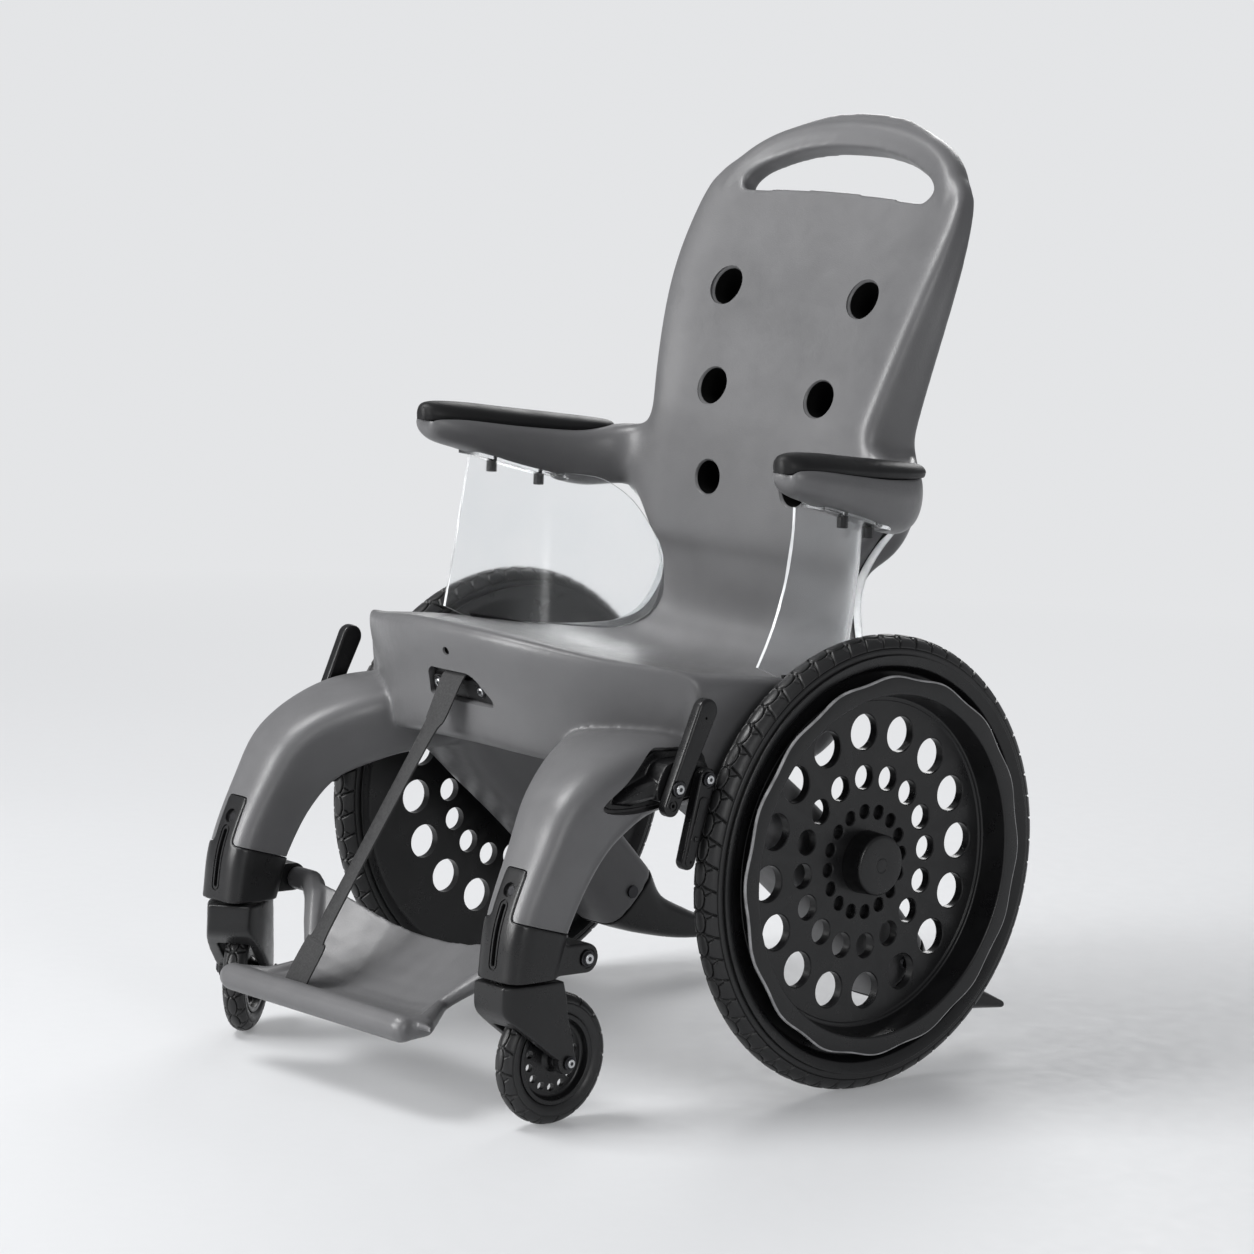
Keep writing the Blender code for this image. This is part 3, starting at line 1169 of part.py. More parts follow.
def make_casters(chair):
    """Front wheels in forks that turn about stems in the sleeves, trailing behind them."""
    for name, side in SIDES:
        turn = 0.0 if side > 0 else CASTER_TURN_RIGHT
        swivel = make_empty("caster_swivel_" + name, (side * CASTER_X, CASTER_SWIVEL_Y, 0.0), chair,
                            turn)
        eye = (CASTER_TRAIL, CASTER_RADIUS)
        outline = [(0.0430, FORK_TOP)] + [(y, CASTER_RADIUS + height) for y, height in FORK_REAR]
        for step in range(8):
            angle = math.radians(20 - 230 * step / 7)
            outline.append((eye[0] + FORK_EYE * math.cos(angle), eye[1] + FORK_EYE * math.sin(angle)))
        outline += [(y, CASTER_RADIUS + height) for y, height in FORK_FRONT] + [(-0.0370, FORK_TOP)]
        fork = add_object("caster_fork_" + name, prism_mesh(outline, -0.05, 0.05),
                          swivel, "sleeve_black")
        plan = []
        for step in range(20):
            angle = 2 * PI * (step + 0.5) / 20
            plan.append([FORK_HALF_WIDTH * rounded(math.cos(angle), FORK_SQUARENESS),
                         FORK_PLAN_MIDDLE + FORK_PLAN_HALF * rounded(math.sin(angle), FORK_SQUARENESS)])
        rings = [[(x, y, height) for x, y in plan] for height in (0.0, 0.3)]
        boolean(fork, add_object("fork_plan_" + name, loft_mesh(rings), swivel), "INTERSECT")
        space = cylinder_mesh([((-FORK_SLOT_HALF, *eye), (FORK_SLOT_HALF, *eye),
                                CASTER_RADIUS + FORK_WHEEL_CLEAR)], 32)
        boolean(fork, add_object("fork_space_" + name, space, swivel), "DIFFERENCE")
        bores = cylinder_mesh([((-0.05, *eye), (0.05, *eye), CASTER_AXLE_RADIUS + GAP),
                               ((0.0, 0.0, STEM_BOTTOM - GAP), (0.0, 0.0, 0.2), STEM_RADIUS + GAP)])
        boolean(fork, add_object("fork_bores_" + name, bores, swivel), "DIFFERENCE")

        stem = turned_mesh((0.0, 0.0, 0.0), (0.0, 0.0, 1.0),
                           ((STEM_BOTTOM, STEM_RADIUS), (FORK_TOP + GAP, STEM_RADIUS),
                            (FORK_TOP + GAP, STEM_COLLAR), (SLEEVE_BOTTOM - GAP, STEM_COLLAR),
                            (SLEEVE_BOTTOM - GAP, STEM_RADIUS), (STEM_TOP, STEM_RADIUS)))
        add_object("caster_stem_" + name, stem, swivel, "steel")
        half = FORK_HALF_WIDTH + GAP
        axle = turned_mesh((0.0, *eye), (1.0, 0.0, 0.0),
                           ((-half - 0.003, 0.8 * CASTER_HEAD_RADIUS), (-half, CASTER_HEAD_RADIUS),
                            (-half, CASTER_AXLE_RADIUS), (half, CASTER_AXLE_RADIUS),
                            (half, CASTER_HEAD_RADIUS), (half + 0.003, 0.8 * CASTER_HEAD_RADIUS)))
        add_object("caster_axle_" + name, axle, swivel, "steel")

        hub = make_empty("caster_hub_" + name, (0.0, *eye), swivel)
        wheel = swept_wheel("caster_wheel_" + name, caster_wheel_profile(), CASTER_STEPS, hub,
                            "wheel_black", side)
        holes = []
        for step in range(CASTER_HOLES):
            angle = 2 * PI * step / CASTER_HOLES
            x, y = CASTER_HOLE_RING * math.cos(angle), CASTER_HOLE_RING * math.sin(angle)
            holes.append(((x, y, -0.02), (x, y, 0.02), CASTER_HOLE_RADIUS))
        cutter = add_object("caster_holes_" + name, cylinder_mesh(holes, 4), hub)
        cutter.rotation_euler = wheel.rotation_euler
        boolean(wheel, cutter, "DIFFERENCE")
        profile = tyre_profile(CASTER_RADIUS, CASTER_SECTION, CASTER_RIM_EDGE,
                               CASTER_RIM_EDGE - 0.0012, 0.0095)
        swept_wheel("caster_tyre_" + name, profile, CASTER_STEPS, hub, "rubber_black", side)


def make_body(chair):
    """The seat, back and arm wings in one net, before its openings and seats are cut."""
    points, faces = body_cage()
    mesh = face_outwards(mesh_of(pull_through(points, faces), faces))
    body = add_object("body_shell", mesh, chair, "body_grey")
    subdivide(body, 2)
    thin = body.modifiers.new("fewer_faces", "DECIMATE")
    thin.ratio = BODY_FACE_SHARE
    thin.use_symmetry = True
    thin.symmetry_axis = "X"
    add_leg_arches(chair, body)
    return body


def main():
    clear_scene()
    make_collection(PARTS)
    make_collection(CUTTERS)
    for name in COLOURS:
        make_material(name)
    chair = make_empty("chair", (0.0, CHAIR_Y, 0.0))
    body = make_body(chair)
    cut_back(chair, body)
    make_sleeves(chair, body)
    plate = make_footplate(chair)
    make_strap(chair, body, plate)
    make_panels(chair, body)
    make_pads(chair, body)
    make_rear_feet(chair, body)
    make_brakes(chair, body)
    make_rear_wheels(chair, body)
    make_casters(chair)
    for obj in bpy.data.collections[PARTS].objects:
        smooth(obj)


main()
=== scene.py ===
"""Looks of the pool wheelchair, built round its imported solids. Metres, +Z up, facing -Y.

Places are measured from the middle of the rear axle line on the floor, as in the solids, and
every new mesh is then moved by CHAIR_Y into the row's frame.
"""
import math

import bmesh
import bpy
import numpy as np
from mathutils import Matrix, Vector


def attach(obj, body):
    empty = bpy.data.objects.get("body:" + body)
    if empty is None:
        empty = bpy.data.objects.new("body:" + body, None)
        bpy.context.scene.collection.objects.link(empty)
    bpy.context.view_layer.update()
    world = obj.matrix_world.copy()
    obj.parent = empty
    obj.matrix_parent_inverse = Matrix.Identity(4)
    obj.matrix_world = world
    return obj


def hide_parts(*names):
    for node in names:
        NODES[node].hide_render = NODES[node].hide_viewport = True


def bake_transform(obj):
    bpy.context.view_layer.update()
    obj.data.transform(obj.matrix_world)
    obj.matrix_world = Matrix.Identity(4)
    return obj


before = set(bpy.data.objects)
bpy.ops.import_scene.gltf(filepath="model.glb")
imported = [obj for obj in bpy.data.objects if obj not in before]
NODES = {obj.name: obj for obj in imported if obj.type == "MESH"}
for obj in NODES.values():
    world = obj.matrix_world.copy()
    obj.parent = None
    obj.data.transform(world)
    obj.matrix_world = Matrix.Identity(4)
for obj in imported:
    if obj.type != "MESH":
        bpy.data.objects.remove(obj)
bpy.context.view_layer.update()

PI = math.pi
CHAIR_Y = 0.1180
SIDES = (("left", 1.0), ("right", -1.0))
BACKDROP = (0.775, 0.783, 0.797)

GAP = 0.0003
WHEEL_RADIUS = 0.260
WHEEL_TRACK_HALF = 0.3178
TYRE_SECTION = 0.0181
RIM_EDGE = WHEEL_RADIUS - 0.0215
DISC_FACE = -0.0035
DISC_THICKNESS = 0.011
HANDRIM_REACH = 0.0298
HANDRIM_OUTER = RIM_EDGE - 0.0213
HANDRIM_INNER = HANDRIM_OUTER - 0.0215
DISH_RADIUS = HANDRIM_INNER - 0.0057
HANDRIM_WAVES = 16
HANDRIM_WAVE = 0.0035
HANDRIM_LIP = 0.0045
HOLES_PER_RING = 16
HOLE_PHASE = math.radians(3.88)
# rings of holes: the ring's and a hole's radius, as shares of the dish's
HOLE_RINGS = ((0.7879, 0.1079), (0.5132, 0.0737), (0.3053, 0.0411))
HUB_RADIUS = 0.022
HUB_INBOARD = -0.0340
CAP_RADIUS = 0.036
CAP_FRONT = 0.0235
DISC_BACK = DISC_FACE - DISC_THICKNESS
HANDRIM_UNDER = HANDRIM_REACH - HANDRIM_LIP
WHEEL_BORE = 0.0083
# the rear wheel and its cap: radius, distance outboard, and the fillet at that corner
DISC_PROFILE = (
    (WHEEL_BORE, DISC_FACE, 0.0), (DISH_RADIUS - 0.0062, DISC_FACE, 0.0005),
    (DISH_RADIUS - 0.0050, DISC_FACE + 0.0016, 0.0005), (DISH_RADIUS - 0.0007, DISC_FACE + 0.0016, 0.002),
    (HANDRIM_INNER - 0.0008, HANDRIM_REACH - 0.0012, 0.0012), (HANDRIM_INNER + 0.0008, HANDRIM_REACH, 0.0016),
    (HANDRIM_OUTER, HANDRIM_REACH, 0.0020), (HANDRIM_OUTER, HANDRIM_UNDER, 0.0018),
    (0.2020, HANDRIM_UNDER - 0.001, 0.001), (0.2010, 0.0060, 0.002), (0.2200, 0.0060, 0.002),
    (0.2255, 0.0180, 0.002), (RIM_EDGE, 0.0215, 0.001), (RIM_EDGE, 0.0184, 0.0), (0.2290, 0.0150, 0.0),
    (0.2290, -0.0150, 0.0), (RIM_EDGE, -0.0184, 0.0), (RIM_EDGE, -0.0215, 0.001), (0.2230, DISC_BACK, 0.004),
    (HUB_RADIUS, DISC_BACK, 0.002), (HUB_RADIUS, HUB_INBOARD, 0.0015), (WHEEL_BORE, HUB_INBOARD, 0.0),
)
CAP_PROFILE = (
    (0.0001, CAP_FRONT, 0.0), (0.0075, CAP_FRONT, 0.0003), (0.0078, CAP_FRONT - 0.0005, 0.0002),
    (0.0084, CAP_FRONT - 0.0005, 0.0002), (0.0087, CAP_FRONT, 0.0003),
    (CAP_RADIUS - 0.0015, CAP_FRONT - 0.0004, 0.004), (CAP_RADIUS, DISC_FACE + GAP, 0.0),
    (0.0001, DISC_FACE + GAP, 0.0),
)
CASTER_RADIUS = 0.0736
CASTER_SECTION = 0.0135
# half of the caster's section: radius and distance from its middle plane
CASTER_HALF = ((0.0045, 0.0160), (0.0100, 0.0160), (0.0115, 0.0090), (0.0150, 0.0045), (0.0415, 0.0022),
               (0.0435, 0.0040), (0.0455, 0.0115), (0.0510, 0.0115), (0.0500, 0.0095))
CASTER_HOLES = 14
CASTER_HOLE_RING = 0.0325
CASTER_HOLE_RADIUS = 0.0046
# tyres: the foot's radius and half width, steps round, ovals round, and the tread's depth
REAR_TREAD = (0.2293, 0.0147, 2040, 60, 0.0026)
CASTER_TREAD = (0.0503, 0.0092, 620, 17, 0.0018)
TYRE_POINTS = 85
CASTER_X = round(WHEEL_TRACK_HALF - 0.0703, 6)
CASTER_SWIVEL_Y = -0.458
CASTER_TRAIL = 0.054
CASTER_TURN_RIGHT = math.radians(38.0)
FORK_TOP = round(2 * CASTER_RADIUS + 0.0183, 6)
FORK_HALF_WIDTH = 0.0330
FORK_SLOT_HALF = 0.0185
FORK_EYE = 0.0135
FORK_WHEEL_CLEAR = 0.0055
FORK_PLAN_MIDDLE = 0.020
FORK_PLAN_HALF = 0.070
FORK_SQUARENESS = 2.5
# the fork's front and rear edge: y and height over the axle
FORK_FRONT = ((0.036, 0.0064), (0.010, 0.0254), (-0.016, 0.0444), (-0.032, 0.0574), (-0.0370, 0.0694))
FORK_REAR = ((0.0480, 0.0744), (0.0520, 0.0514), (0.0600, 0.0274))


def inboard(rows, *columns):
    """Rows whose given columns are distances inboard of a rear wheel's middle plane, turned to x."""
    return tuple(tuple(round(WHEEL_TRACK_HALF - value, 6) if number in columns else value
                       for number, value in enumerate(row)) for row in rows)


def by_wheel(ahead, above):
    """A (y, z) point ahead of a rear wheel's front edge and above its axle."""
    return round(-WHEEL_RADIUS - ahead, 6), round(WHEEL_RADIUS + above, 6)


# holes through the back: across, height, radius, depth
BACK_HOLES = ((0.116, 0.877, 0.0225, 0.034), (0.091, 0.760, 0.0215, 0.049), (0.073, 0.652, 0.0195, 0.055))
BACK_DRAIN_RADIUS = 0.006
# half of the handle's slot: across and height along its lower and upper edge
SLOT_MIDDLE = (0.9965 + 1.0500) / 2
SLOT_LOW = ((0.0, 0.9968), (0.045, 0.9962), (0.090, 0.9942), (0.132, 0.9908), (0.1500, 0.9915),
            (0.1575, 0.9995))
SLOT_HIGH = ((0.1545, 1.0100), (0.140, 1.0215), (0.115, 1.0320), (0.087, 1.0410), (0.045, 1.0480),
             (0.0, 1.0500))
SLEEVE_BOTTOM = round(FORK_TOP + 0.0030, 6)
TAB_HALF_WIDTH = 0.0155
TAB_ZONE = ((-0.530, 0.190), (-0.530, 0.300), (-0.4640, 0.2900), (-0.4480, 0.2825), (-0.4600, 0.2300),
            (-0.470, 0.190))
SCREW_POINT = (-0.4684, 0.2650)
SCREW_NORMAL = (-0.921, 0.390)
HINGE_Y = -0.384
HINGE_Z = 0.187
LUG_RADIUS = 0.0165
LUG_ROOT = (-0.428, 0.188)
LUG_INNER_X = round(WHEEL_TRACK_HALF - 0.0818, 6)
LUG_OUTER_X = round(WHEEL_TRACK_HALF - 0.0378, 6)
# the strap's middle line and its width
STRAP = (
    (0.0000, -0.3400, 0.4590, 0.036),
    (0.0000, -0.3520, 0.4520, 0.036),
    (-0.0060, -0.3690, 0.4080, 0.031),
    (-0.0140, -0.3820, 0.3770, 0.022),
    (-0.0680, -0.4660, 0.1740, 0.022),
    (-0.0750, -0.4770, 0.1480, 0.036),
    (-0.0860, -0.4940, 0.1060, 0.038),
    (-0.0870, -0.4960, 0.0900, 0.038),
)
BRACKET_CENTRE = (0.0, -0.3360, 0.4400)
BRACKET_TILT = math.radians(20.0)
PANEL_THICKNESS = 0.004
PANEL_LEVELS = 9
# side panel from front to rear: lower x, y, z, upper x, y, z, bulge
PANEL = inboard((
    (0.0458, -0.1410, 0.4860, 0.0368, -0.1030, 0.6640, 0.0070),
    (0.0443, -0.1000, 0.4700, 0.0378, -0.0620, 0.6550, 0.0060),
    (0.0473, -0.0550, 0.4620, 0.0418, -0.0200, 0.6470, 0.0050),
    (0.0608, -0.0060, 0.4520, 0.0528, 0.0150, 0.6420, 0.0040),
    (0.0848, 0.0270, 0.4500, 0.0728, 0.0380, 0.6400, 0.0030),
    (0.1118, 0.0530, 0.4530, 0.0958, 0.0580, 0.6360, 0.0020),
    (0.1358, 0.0770, 0.4620, 0.1178, 0.0750, 0.6220, 0.0010),
    (0.1518, 0.0930, 0.4760, 0.1358, 0.0870, 0.6020, 0.0),
    (0.1658, 0.1060, 0.5000, 0.1558, 0.1040, 0.5640, 0.0),
), 0, 3)
# the panel's flange: y, inner x, outer x, top
FLANGE = inboard((
    (-0.0900, 0.0398, 0.0018, 0.6680),
    (-0.0490, 0.0418, -0.0002, 0.6585),
    (-0.0150, 0.0478, 0.0038, 0.6490),
    (0.0110, 0.0558, 0.0118, 0.6420),
    (0.0350, 0.0618, 0.0218, 0.6370),
), 1, 2)
KNOBS = inboard(((0.0148, -0.0490), (0.0338, 0.0110)), 0)
KNOB_HEIGHT = 0.013
PAD_HEIGHT = 0.017
PAD_SINK = 0.005
# armrest pad: x, y, half width, height of the arm under it
PAD = inboard((
    (0.0083, -0.1570, 0.0070, 0.7120),
    (0.0088, -0.1480, 0.0170, 0.7120),
    (0.0108, -0.1280, 0.0240, 0.7110),
    (0.0158, -0.0900, 0.0275, 0.7080),
    (0.0228, -0.0450, 0.0285, 0.7035),
    (0.0308, 0.0080, 0.0285, 0.6990),
    (0.0408, 0.0560, 0.0275, 0.6955),
    (0.0498, 0.0880, 0.0220, 0.6940),
    (0.0538, 0.1040, 0.0120, 0.6940),
    (0.0548, 0.1100, 0.0040, 0.6940),
), 0)
BRAKE_INNER_X = round(WHEEL_TRACK_HALF - 0.0145, 6)
BRAKE_ARM_THICKNESS = 0.014
LEVER_PIVOT = by_wheel(0.0340, 0.1100)
LEVER_TOP = by_wheel(-0.0060, 0.1920)
LEVER_TAIL = by_wheel(0.0410, 0.0900)
SHOE_PIVOT = by_wheel(-0.0100, 0.1170)
SHOE_END = by_wheel(0.0135, 0.0280)
BRAKE_BLOCK = tuple(by_wheel(ahead, above) for ahead, above in (
               (0.106, 0.092), (0.075, 0.085), (0.002, 0.090), (-0.026, 0.102),
               (-0.024, 0.138), (0.020, 0.145), (0.044, 0.142), (0.080, 0.112)))
BRAKE_BLOCK_INNER_X = round(WHEEL_TRACK_HALF - 0.0478, 6)
# the moulding from the seat's front to the handle: y, z, slope, half width, dish, sweep,
# thickness, widening and lean of the outer skin
SPINE = inboard((
    (-0.360, 0.513, -8, 0.0458, -0.020, 0.112, 0.122, -0.070, 0.038),
    (-0.270, 0.492, -11, 0.0348, -0.004, 0.040, 0.118, -0.040, 0.010),
    (-0.150, 0.463, -11, 0.0318, 0.012, 0.000, 0.105, -0.030, 0.000),
    (-0.030, 0.440, -8, 0.0438, 0.020, 0.000, 0.085, -0.030, 0.000),
    (0.055, 0.438, 12, 0.0858, 0.022, 0.000, 0.065, -0.020, 0.000),
    (0.100, 0.474, 62, 0.1318, 0.006, 0.000, 0.044, -0.060, 0.000),
    (0.098, 0.525, 92, 0.1608, -0.008, 0.000, 0.038, 0.000, 0.000),
    (0.094, 0.563, 91, 0.1558, -0.008, 0.000, 0.042, 0.020, 0.000),
    (0.091, 0.604, 89, 0.1338, -0.004, 0.000, 0.062, 0.080, 0.000),
    (0.100, 0.708, 82, 0.1298, 0.000, 0.000, 0.068, 0.080, 0.000),
    (0.113, 0.756, 75, 0.1308, 0.004, 0.000, 0.058, 0.100, 0.000),
    (0.148, 0.860, 70, 0.1128, 0.006, 0.000, 0.044, 0.085, 0.000),
    (0.188, 0.945, 64, 0.1058, 0.006, 0.000, 0.032, 0.050, 0.000),
    (0.225, 1.015, 60, 0.1148, 0.004, -0.010, 0.026, 0.010, 0.000),
    (0.270, 1.087, 58, 0.1458, 0.002, -0.062, 0.028, 0.010, 0.000),
), 3)
COLUMNS = (0.0, 0.40, 0.78, 1.0)
EDGE_BULGE = 0.005
THIN_ROWS = {4: 0.50, 5: 0.30, 6: 0.62, 7: 0.90}
ARM_ROOT = 8
# arm wing from the back to its front: x, y, half width, top, bottom
ARM = inboard((
    (0.0858, 0.108, 0.024, 0.700, 0.626),
    (0.0518, 0.066, 0.029, 0.694, 0.624),
    (0.0318, 0.000, 0.030, 0.699, 0.640),
    (0.0208, -0.060, 0.030, 0.706, 0.657),
    (0.0118, -0.112, 0.028, 0.712, 0.673),
    (0.0078, -0.146, 0.018, 0.713, 0.687),
), 0)
ARM_TURN = (-38, -68, -80, -82, -84, -86)
# the arched legs: y, z, direction, half depth, inner x, outer x
ARCH = inboard((
    (-0.4550, SLEEVE_BOTTOM, 90, 0.0360, 0.1048, 0.0358),
    (-0.4430, 0.2250, 80, 0.0400, 0.1068, 0.0338),
    (-0.4130, 0.2880, 66, 0.0420, 0.1128, 0.0318),
    (-0.3770, 0.3370, 50, 0.0480, 0.1278, 0.0308),
    (-0.3120, 0.3710, 20, 0.0450, 0.1658, 0.0308),
    (-0.2400, 0.3780, 0, 0.0420, 0.1828, 0.0308),
    (-0.1750, 0.3690, -20, 0.0440, 0.1678, 0.0328),
    (-0.0900, 0.3080, -38, 0.0480, 0.1428, 0.0348),
    (0.0030, 0.2295, -44, 0.0480, 0.1278, 0.0358),
    (0.1180, 0.1150, -44, 0.0470, 0.1258, 0.0388),
), 4, 5)
SECTION_SQUARENESS = 3.7
SECTION_POINTS = 56
SLEEVE_SKIN = 0.0012
# the stepped slot on a sleeve: half width, low and high end, bottom and top over the face, operation
SLEEVE_SLOTS = ((0.0068, 0.1800, 0.2560, -0.0016, 0.012, "DIFFERENCE"),
                (0.0050, 0.1820, 0.2540, -0.0060, -0.0002, "UNION"),
                (0.0030, 0.1845, 0.2515, -0.0050, 0.012, "DIFFERENCE"))
REAR_FOOT = inboard((
    (0.1180, 0.1150, -44, 0.0470, 0.1258, 0.0388),
    (0.1560, 0.0890, -32, 0.0290, 0.1228, 0.0418),
    (0.2120, 0.0700, -18, 0.0200, 0.1188, 0.0478),
    (0.2620, 0.0580, -14, 0.0120, 0.1148, 0.0518),
    (0.3000, 0.0475, -12, 0.0050, 0.1098, 0.0558),
), 4, 5)


# mesh helpers


def mesh_of(points, faces):
    mesh = bpy.data.meshes.new("shape")
    mesh.from_pydata([tuple(point) for point in points], [], [tuple(face) for face in faces])
    return mesh


def mesh_from(shape):
    """A mesh from an edited shape, which is then let go."""
    mesh = bpy.data.meshes.new("shape")
    shape.to_mesh(mesh)
    shape.free()
    return mesh


def face_outwards(mesh):
    shape = bmesh.new()
    shape.from_mesh(mesh)
    bmesh.ops.recalc_face_normals(shape, faces=shape.faces)
    shape.to_mesh(mesh)
    shape.free()
    return mesh


def new_object(name, data):
    obj = bpy.data.objects.new(name, data)
    bpy.context.scene.collection.objects.link(obj)
    return obj


def settle(obj):
    """Applies an object's modifiers."""
    graph = bpy.context.evaluated_depsgraph_get()
    mesh = bpy.data.meshes.new_from_object(obj.evaluated_get(graph))
    obj.modifiers.clear()
    obj.data = mesh
    return obj


def drop(obj):
    bpy.data.objects.remove(obj)


def combine(obj, mesh, operation="DIFFERENCE"):
    """Cuts a mesh from an object, or joins it on."""
    other = new_object("other", mesh)
    modifier = obj.modifiers.new("combine", "BOOLEAN")
    modifier.object = other
    modifier.operation = operation
    modifier.solver = "EXACT"
    settle(obj)
    drop(other)


def soften(obj, voxel, rounds):
    """Turns a shape into an even net and smooths it, which rounds its edges as a mould does."""
    remesh = obj.modifiers.new("net", "REMESH")
    remesh.mode = "VOXEL"
    remesh.voxel_size = voxel
    smoothing = obj.modifiers.new("smooth", "SMOOTH")
    smoothing.factor = 0.5
    smoothing.iterations = rounds
    return settle(obj)


def bevel_edges(obj, width, segments):
    bevel = obj.modifiers.new("edges", "BEVEL")
    bevel.width = width
    bevel.segments = segments
    bevel.limit_method = "ANGLE"
    bevel.angle_limit = math.radians(30.0)
    bevel.use_clamp_overlap = True
    bevel.harden_normals = False
    settle(obj)


def smooth_shaded(obj, material, angle):
    mesh = obj.data
    mesh.polygons.foreach_set("use_smooth", [True] * len(mesh.polygons))
    if angle:
        mesh.set_sharp_from_angle(angle=math.radians(angle))
    mesh.materials.clear()
    mesh.materials.append(material)


def show(obj, body, material, *nodes, angle=40.0):
    """Finishes a piece: its shading, material, the body that it rides, the nodes it stands for."""
    smooth_shaded(obj, material, angle)
    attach(obj, body)
    if nodes:
        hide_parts(*nodes)


def in_chair(obj):
    obj.data.transform(Matrix.Translation((0.0, CHAIR_Y, 0.0)))
    return obj


def revolve(profile, steps, change=None):
    """A closed loop of (radius, height) points swept round Z; change may move the points."""
    table = np.array(profile, dtype=float)
    angles = 2 * PI * np.arange(steps) / steps
    radius = np.repeat(table[None, :, 0], steps, axis=0)
    height = np.repeat(table[None, :, 1], steps, axis=0)
    if change:
        radius, height = change(angles[:, None], radius, height)
    points = np.stack([radius * np.cos(angles)[:, None], radius * np.sin(angles)[:, None], height], 2)
    count = len(table)
    faces = []
    for step in range(steps):
        here, ahead = step * count, (step + 1) % steps * count
        for number in range(count):
            after = (number + 1) % count
            faces.append((here + number, here + after, ahead + after, ahead + number))
    return face_outwards(mesh_of(points.reshape(-1, 3), faces))


def filleted(rows, steps, radius=None):
    """A closed outline with rounded corners, from (a, b) points or (a, b, own radius) rows."""
    result = []
    corners = [Vector(row[:2]) for row in rows]
    for number, here in enumerate(corners):
        one = corners[number - 1] - here
        two = corners[(number + 1) % len(corners)] - here
        reach = rows[number][2] if radius is None else radius
        reach = min(reach, 0.45 * one.length, 0.45 * two.length)
        if reach < 1e-5:
            result.append(tuple(here))
            continue
        start, end = here + one.normalized() * reach, here + two.normalized() * reach
        for step in range(steps + 1):
            t = step / steps
            result.append(tuple(start * (1 - t) ** 2 + here * 2 * t * (1 - t) + end * t ** 2))
    return result


def cylinders(rows, segments):
    """Cylinders from (start, end, radius, end radius) rows, as one mesh."""
    shape = bmesh.new()
    for start, end, radius, far_radius in rows:
        start, end = Vector(start), Vector(end)
        turn = (end - start).to_track_quat("Z", "Y").to_matrix().to_4x4()
        place = Matrix.Translation((start + end) / 2) @ turn
        bmesh.ops.create_cone(shape, cap_ends=True, segments=segments, radius1=radius,
                              radius2=far_radius, depth=(end - start).length, matrix=place)
    return mesh_from(shape)


def cross_bar(side, low, high, spot, radius, segments, end_radius=None):
    """A round bar along X at a (y, z) spot, from one distance off the middle to another."""
    return cylinders([((side * low, *spot), (side * high, *spot), radius, end_radius or radius)], segments)


def merged(meshes):
    """One mesh from several that stay clear of each other."""
    shape = bmesh.new()
    for mesh in meshes:
        shape.from_mesh(mesh)
    return mesh_from(shape)


# shapes that repeat the solids' own construction


def loft_mesh(rings):
    """A closed solid through rings of as many points each, with flat ends."""
    size = len(rings[0])
    points = [point for ring in rings for point in ring]
    faces = [tuple(range(size)), tuple(range(len(points) - size, len(points)))]
    for number in range(len(rings) - 1):
        low, high = number * size, (number + 1) * size
        for step in range(size):
            after = (step + 1) % size
            faces.append((low + step, low + after, high + after, high + step))
    return face_outwards(mesh_of(points, faces))


def prism_mesh(outline, low, high):
    """A solid along X between low and high from (y, z) points."""
    rings = [[(x, y, z) for y, z in outline] for x in (low, high)]
    return loft_mesh(rings)


def stadium(start, end, radius, end_radius, steps):
    """Points round a bar with round ends, from one (y, z) centre to another."""
    heading = math.atan2(end[1] - start[1], end[0] - start[0])
    points = []
    for centre, size, first in ((start, radius, PI / 2), (end, end_radius, -PI / 2)):
        for step in range(steps + 1):
            angle = heading + first + PI * step / steps
            points.append((centre[0] + size * math.cos(angle), centre[1] + size * math.sin(angle)))
    return points


def resample(rows, between):
    """Rows of numbers, with more rows between them on a smooth curve."""
    table = np.array(rows, dtype=float)
    padded = np.vstack([2 * table[0] - table[1], table, 2 * table[-1] - table[-2]])
    result = []
    for row in range(len(table) - 1):
        before, start, end, after = padded[row:row + 4]
        for step in range(between):
            t = step / between
            result.append(0.5 * (2 * start + (end - before) * t
                                 + (2 * before - 5 * start + 4 * end - after) * t ** 2
                                 + (3 * start - before - 3 * end + after) * t ** 3))
    result.append(table[-1])
    return result


def neighbours(rows, number):
    """The rows before and after one, or the row itself at an end."""
    return rows[max(0, number - 1)], rows[min(len(rows) - 1, number + 1)]


def rounded(share, squareness):
    """A sine or cosine pushed outwards, for sections between round and square."""
    return math.copysign(abs(share) ** (2 / squareness), share)


def section_ring(row, side, inset=0.0):
    """A rounded section of a leg, square to its direction in the side view."""
    y, z, direction, half, inner, outer = row
    turn = math.radians(direction)
    middle, width = (inner + outer) / 2, (outer - inner) / 2 - inset
    depth = half - inset
    ring = []
    for step in range(SECTION_POINTS):
        angle = 2 * PI * (step + 0.5) / SECTION_POINTS
        outwards = rounded(math.cos(angle), SECTION_SQUARENESS)
        along = rounded(math.sin(angle), SECTION_SQUARENESS)
        ring.append((side * (middle + width * outwards),
                     y - math.sin(turn) * depth * along,
                     z + math.cos(turn) * depth * along))
    return ring


def spine_frame(row):
    slope = math.radians(row[2])
    along = np.array([0.0, math.cos(slope), math.sin(slope)])
    normal = np.array([0.0, -math.sin(slope), math.cos(slope)])
    return np.array([0.0, row[0], row[1]]), along, normal


